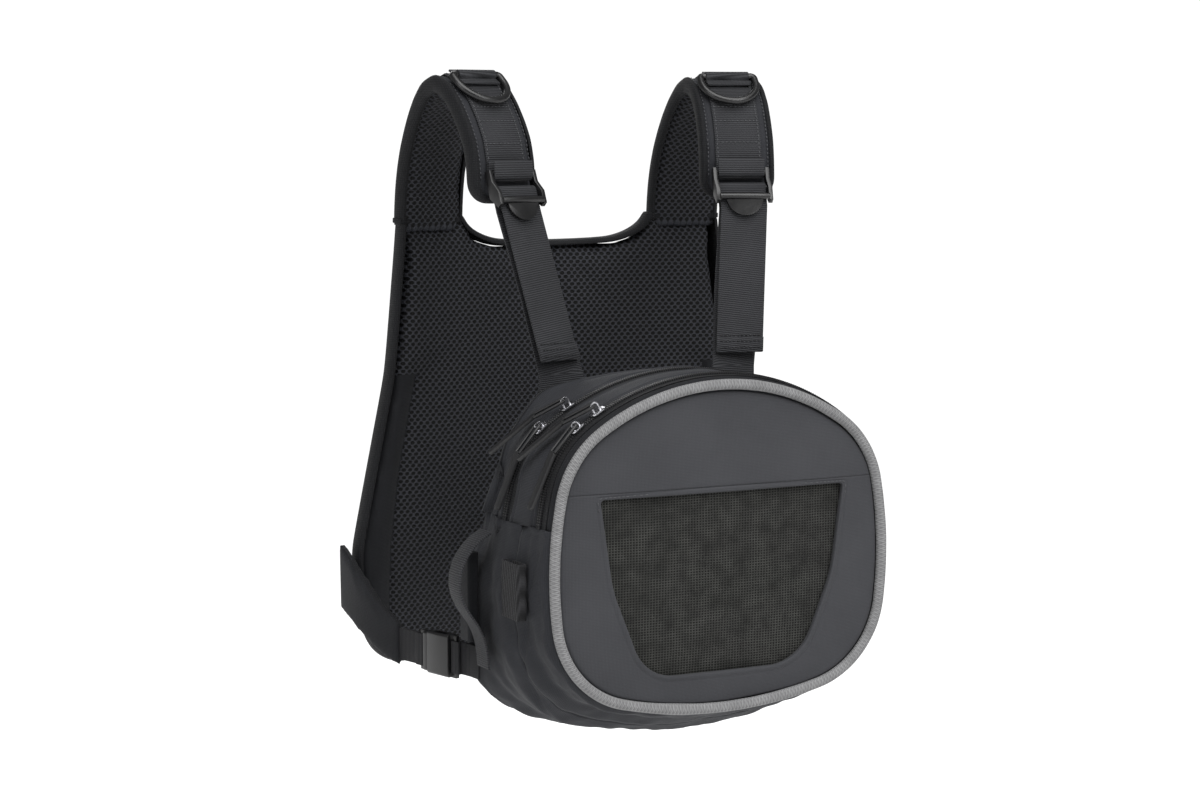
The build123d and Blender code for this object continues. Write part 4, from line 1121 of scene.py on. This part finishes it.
for side, sign in SIDES:
    origins = np.array([mirrored(s[0], sign) for s in STRAP])
    acrosses = np.array([(s[1][0], sign * s[1][1], s[1][2]) for s in STRAP])
    ups = np.array([mirrored(s[2], sign) for s in STRAP])
    mid = origins + ups * .0055

    def local(co):
        """Nearest station, distance across and height above the underside."""
        seg = mid[1:] - mid[:-1]
        t = np.clip(((co[:, None] - mid[None, :-1]) * seg[None]).sum(2) / (seg ** 2).sum(1)[None], 0, 1)
        foot = mid[None, :-1] + t[..., None] * seg[None]
        pick = np.linalg.norm(co[:, None] - foot, axis=2).argmin(1)
        rows = np.arange(len(co))
        share = t[rows, pick][:, None]
        up = ups[pick] * (1 - share) + ups[pick + 1] * share
        wide = acrosses[pick] * (1 - share) + acrosses[pick + 1] * share
        off = co - foot[rows, pick]
        return pick + share[:, 0], (off * wide).sum(1), (off * up).sum(1) + .0055, up

    def pins(co):
        _, wide, high, _ = local(co)
        top = (np.abs(wide) < WEB_HALF) & (high > .008)
        return np.where(top, 1.0, 0.0)

    nodes = [f"shoulder_lining_{side}", f"shoulder_pad_{side}"]
    pad = puff(f"shoulder_strap_pad_{side}", nodes, .0036, .0024, pins, smooth=1)
    co = coords(pad.data)
    where, wide, high, up = local(co)
    groove = .0012 * np.exp(-((np.abs(wide) - .0245) / .0012) ** 2) * (high > .004)
    groove += .0010 * np.exp(-((np.abs(wide) - .0235) / .0014) ** 2) * (high < .003) * -1
    over = np.clip(high - PAD_TOP, 0, None) * (np.abs(wide) < WEB_HALF) * (where > 1.2) * (where < 15.2)
    co -= up * (groove + over)[:, None]
    length = run_up(mid)
    along = np.interp(where, np.arange(len(mid)), length)
    end = length[-1]
    da, dw = along - (end - .016), np.abs(wide) - .014
    far = np.hypot(np.maximum(da, 0), np.maximum(dw, 0))
    pull = np.where((da > 0) & (dw > 0) & (far > CORNER), 1 - CORNER / np.maximum(far, 1e-9), 0)
    tip_way = (mid[-1] - mid[-2]) / np.linalg.norm(mid[-1] - mid[-2])
    co -= tip_way * (np.maximum(da, 0) * pull)[:, None]
    co -= acrosses[-1] * (np.sign(wide) * np.maximum(dw, 0) * pull)[:, None]
    co[:, 2] -= .006 * np.clip(1 - where, 0, 1)
    set_coords(pad.data, co)

    def on_strap(distance, across_by, height):
        """The point at a distance along, across and above the strap's underside."""
        s = np.interp(distance, length, np.arange(len(mid)))
        u = part_way(ups, s)
        return (part_way(origins, s) + part_way(acrosses, s) * across_by + u / np.linalg.norm(u) * height
                + tip_way * max(0, distance - end))

    arc = [(end - .016 + CORNER * math.sin(t), .014 + CORNER * math.cos(t)) for t in np.linspace(0, math.pi / 2, 8)]
    rim_line = [(0, PAD_HALF)] + [(d, PAD_HALF) for d in np.linspace(.01, end - .02, 40)] + arc
    rim_line = np.array(rim_line + [(d, -w) for d, w in rim_line[::-1]])
    ways = outward(rim_line)
    ways *= np.sign((ways * (rim_line - np.array([end / 2, 0]))).sum(1).mean())
    rows = []
    for (d, w), (nd, nw) in zip(rim_line, ways):
        rows.append([on_strap(d + nd * out, w + nw * out, h) for out, h in
                     ((-.0036, -.0008), (-.0020, -.0011), (-.0002, -.0004), (.0010, .0030), (.0011, .0056),
                      (.0010, .0085), (-.0002, .0116), (-.0018, .0121), (-.0036, .0116))])
    swept(f"strap_binding_{side}", rows)
    rows = []
    for d in np.linspace(-.0020, .0020, 5):
        ring_at = [(w, -.0006) for w in np.linspace(-.030, .030, 9)]
        ring_at += [(.0310, .001), (.0313, .0056), (.0310, .011)]
        ring_at += [(w, .0120) for w in np.linspace(.030, -.030, 9)]
        ring_at += [(-.0310, .011), (-.0313, .0056), (-.0310, .001)]
        ring_at.append(ring_at[0])
        rows.append([on_strap(max(d + .004, 0), w, h) - np.array([0, 0, max(0, -(d + .004))]) for w, h in ring_at])
    swept(f"horn_seam_tape_{side}", rows)
    for key in ("fabric", "spacer_strap", "binding"):
        pad.data.materials.append(MATS[key])
    uv_along(pad, mid, acrosses[8])
    for poly in pad.data.polygons:
        w, h = abs(wide[poly.vertices[0]]), high[poly.vertices[0]]
        poly.material_index = 2 if w > .0262 and h < .0065 else (1 if h < .0045 else 0)
    place(pad, "harness", nodes)
    top_line = origins + ups * .0124
    strip(f"strap_webbing_{side}", f"shoulder_webbing_{side}", "webbing", "harness", top_line, acrosses[9])
    lock_at = np.array(mirrored((.1019, -.0541, -.0648), sign))
    anchor = np.array(mirrored((.076, -.0889, -.217), sign))
    foot = anchor - np.array([0, 0, .028])
    load = np.array(mirrored((.1004, -.0597, -.0934), sign))
    strip(f"front_strap_webbing_{side}", f"front_strap_{side}", "webbing", "harness", [lock_at, load, anchor, foot],
          acrosses[14])
    tail = np.array(mirrored((.079, -.0935, -.206), sign))
    tail_from = np.array(mirrored((.0986, -.066, -.0912), sign))
    out = np.cross(tail - tail_from, acrosses[16])
    out *= np.sign(-out[1]) / np.linalg.norm(out)
    hem = [[tail * (1 - k) + tail_from * k + out * (.0026 if k < .1 else .0011) + acrosses[16] * w
            for w in np.linspace(-.0165, .0165, 3)] for k in (.03, .075, .115)]
    sewn(f"hem_thread_{side}", hem, "harness", "dark_thread")
    hard(f"ladder_lock_moulding_{side}", f"ladder_lock_{side}", "plastic", f"ladder_lock_{side}", .0005)
    hard(f"d_ring_moulding_{side}", f"d_ring_{side}", "plastic", f"d_ring_{side}", .0003, swell=.0007)
    strip(f"ring_keeper_webbing_{side}", f"d_ring_keeper_{side}", "webbing", "harness", top_line, acrosses[9])
    runs = []
    for station in (2.4, 6.2, 8.6, 11.3, 12.1, 13.2, 14.6):
        u = part_way(ups, station)
        base = part_way(origins, station) + u / np.linalg.norm(u) * WEB_TOP
        runs.append([base + part_way(acrosses, station) * k for k in np.linspace(-.0175, .0175, 3)])
    for edge_at, height, first, last in ((.0172, WEB_TOP, 2, 15), (.0247, PAD_TOP, 1, 16)):
        for out_by in (-edge_at, edge_at):
            runs.append([origins[i] + ups[i] * height + acrosses[i] * out_by for i in range(first, last)])
    sewn(f"strap_thread_{side}", runs, "harness")


# ------------------------------------------------------ belt and tool fittings

for side, sign in SIDES:
    wing = puff(f"waist_wing_pad_{side}", [f"waist_wing_{side}"], .0022, .0016, None, 3.0, 1)
    for key in ("dark_fabric", "binding"):
        wing.data.materials.append(MATS[key])
    for poly in wing.data.polygons:
        poly.material_index = 1 if abs(poly.normal.z) > .55 else 0
    place(wing, "harness", [f"waist_wing_{side}"])
    start = np.array(mirrored((.182, -.021, -.430), sign))
    ahead = np.array(mirrored((-.2588, -.9659, 0), sign))
    line = [start - ahead * .03, start + ahead * .1]

    def into_wing(co):
        """Carries the webbing's end into the wing's padding."""
        near = (co - start) @ ahead < .003
        return co - np.outer(near * .012, ahead)

    rear_web = strip(f"rear_belt_webbing_{side}", f"waist_web_rear_{side}", "belt", None, line, (0, 0, 1),
                     shape=into_wing)
    reach = ((coords(rear_web.data) - start) @ ahead).max()
    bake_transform(rear_web)
    strip(f"front_belt_webbing_{side}", f"waist_web_front_{side}", "belt", "harness", line, (0, 0, 1))
    hard(f"buckle_socket_moulding_{side}", f"waist_buckle_socket_{side}", "plastic", "harness", .0008)
    hard(f"buckle_plug_moulding_{side}", f"waist_buckle_plug_{side}", "plastic", f"buckle_plug_{side}", .0006)
    for which in ("upper", "lower"):
        hard(f"buckle_{which}_prong_moulding_{side}", f"waist_buckle_{which}_prong_{side}", "plastic",
             f"{which}_prong_{side}", .0006)


def loop_end(co):
    """Sews the loop's long end flat on the pack, higher up."""
    low = np.minimum(co[:, 2] + .428, 0)
    co[:, 2] -= low * .92
    return co


loop_line = [(-x / 1000, -.1295, z / 1000) for x, z in
             ((158, -328), (170, -336), (181, -352), (183, -368), (177, -384), (168, -397), (162, -412), (161, -440))]
strip("tool_loop_webbing", "tool_loop", "webbing", "harness", loop_line, (0, 1, 0), shape=loop_end)
hard("tool_sleeve_cloth", "tool_sleeve", "dark_fabric", "harness", .0005)
hard("elastic_sleeve_cloth", "elastic_sleeve", "elastic", "main_cover", .0005)


# ---------------------------------------------------------- studio and camera

FLOOR_HALF, FLOOR_AT = 40, -.90
floor_mesh = bpy.data.meshes.new("studio_floor")
floor_mesh.from_pydata([(x * FLOOR_HALF, y * FLOOR_HALF, FLOOR_AT) for x, y in ((-1, -1), (1, -1), (1, 1), (-1, 1))],
                       [], [(0, 1, 2, 3)])
floor = linked("studio_floor", floor_mesh)
floor_net = Net("pale_floor", (.9, .9, .9), .95)
floor_net.tone = 1.0
floor_net.colour(floor_net.mottle(3, 2), (.92, .92, .92), (.95, .95, .95))
floor_mesh.materials.append(floor_net.mat)

world = bpy.data.worlds.new("studio")
SCENE.world = world
world.use_nodes = True
tree = world.node_tree
light_path = tree.nodes.new("ShaderNodeLightPath")
seen = tree.nodes.new("ShaderNodeMapRange")
tree.links.new(light_path.outputs["Is Camera Ray"], seen.inputs[0])
seen.inputs[3].default_value = .20
seen.inputs[4].default_value = 1.05
tree.nodes["Background"].inputs[0].default_value = (1, 1, 1, 1)
tree.links.new(seen.outputs[0], tree.nodes["Background"].inputs[1])
SCENE.view_settings.view_transform = "Standard"


def shining(name, kind, power, way):
    """A light that shines along way."""
    data = bpy.data.lights.new(name, kind)
    data.energy = power
    obj = linked(name, data)
    obj.rotation_euler = Vector(way).to_track_quat("-Z", "Y").to_euler()
    return obj


MIDDLE = Vector((0, 0, -.25))
shining("overhead", "SUN", 3.5, (.10, .62, -1.25)).data.angle = math.radians(60)
for name, at, size, power in (("key", (.7, -2.1, 1.0), (1.0, .8), 20), ("edge", (-2.0, -.7, .7), (.6, 1.0), 9),
                              ("rear", (.6, 2.2, .9), (1.4, 1.0), 16)):
    lamp = shining(name, "AREA", power, MIDDLE - Vector(at))
    lamp.location = at
    lamp.data.shape = "RECTANGLE"
    lamp.data.size, lamp.data.size_y = size

cam_data = bpy.data.cameras.new("camera")
cam_data.lens = 78
cam_data.sensor_width = 36
cam = linked("camera", cam_data)
cam.location = (-.947, -1.878, -.018)
cam.rotation_euler = (Vector((-.034, -.072, -.241)) - cam.location).to_track_quat("-Z", "Y").to_euler()
SCENE.camera = cam
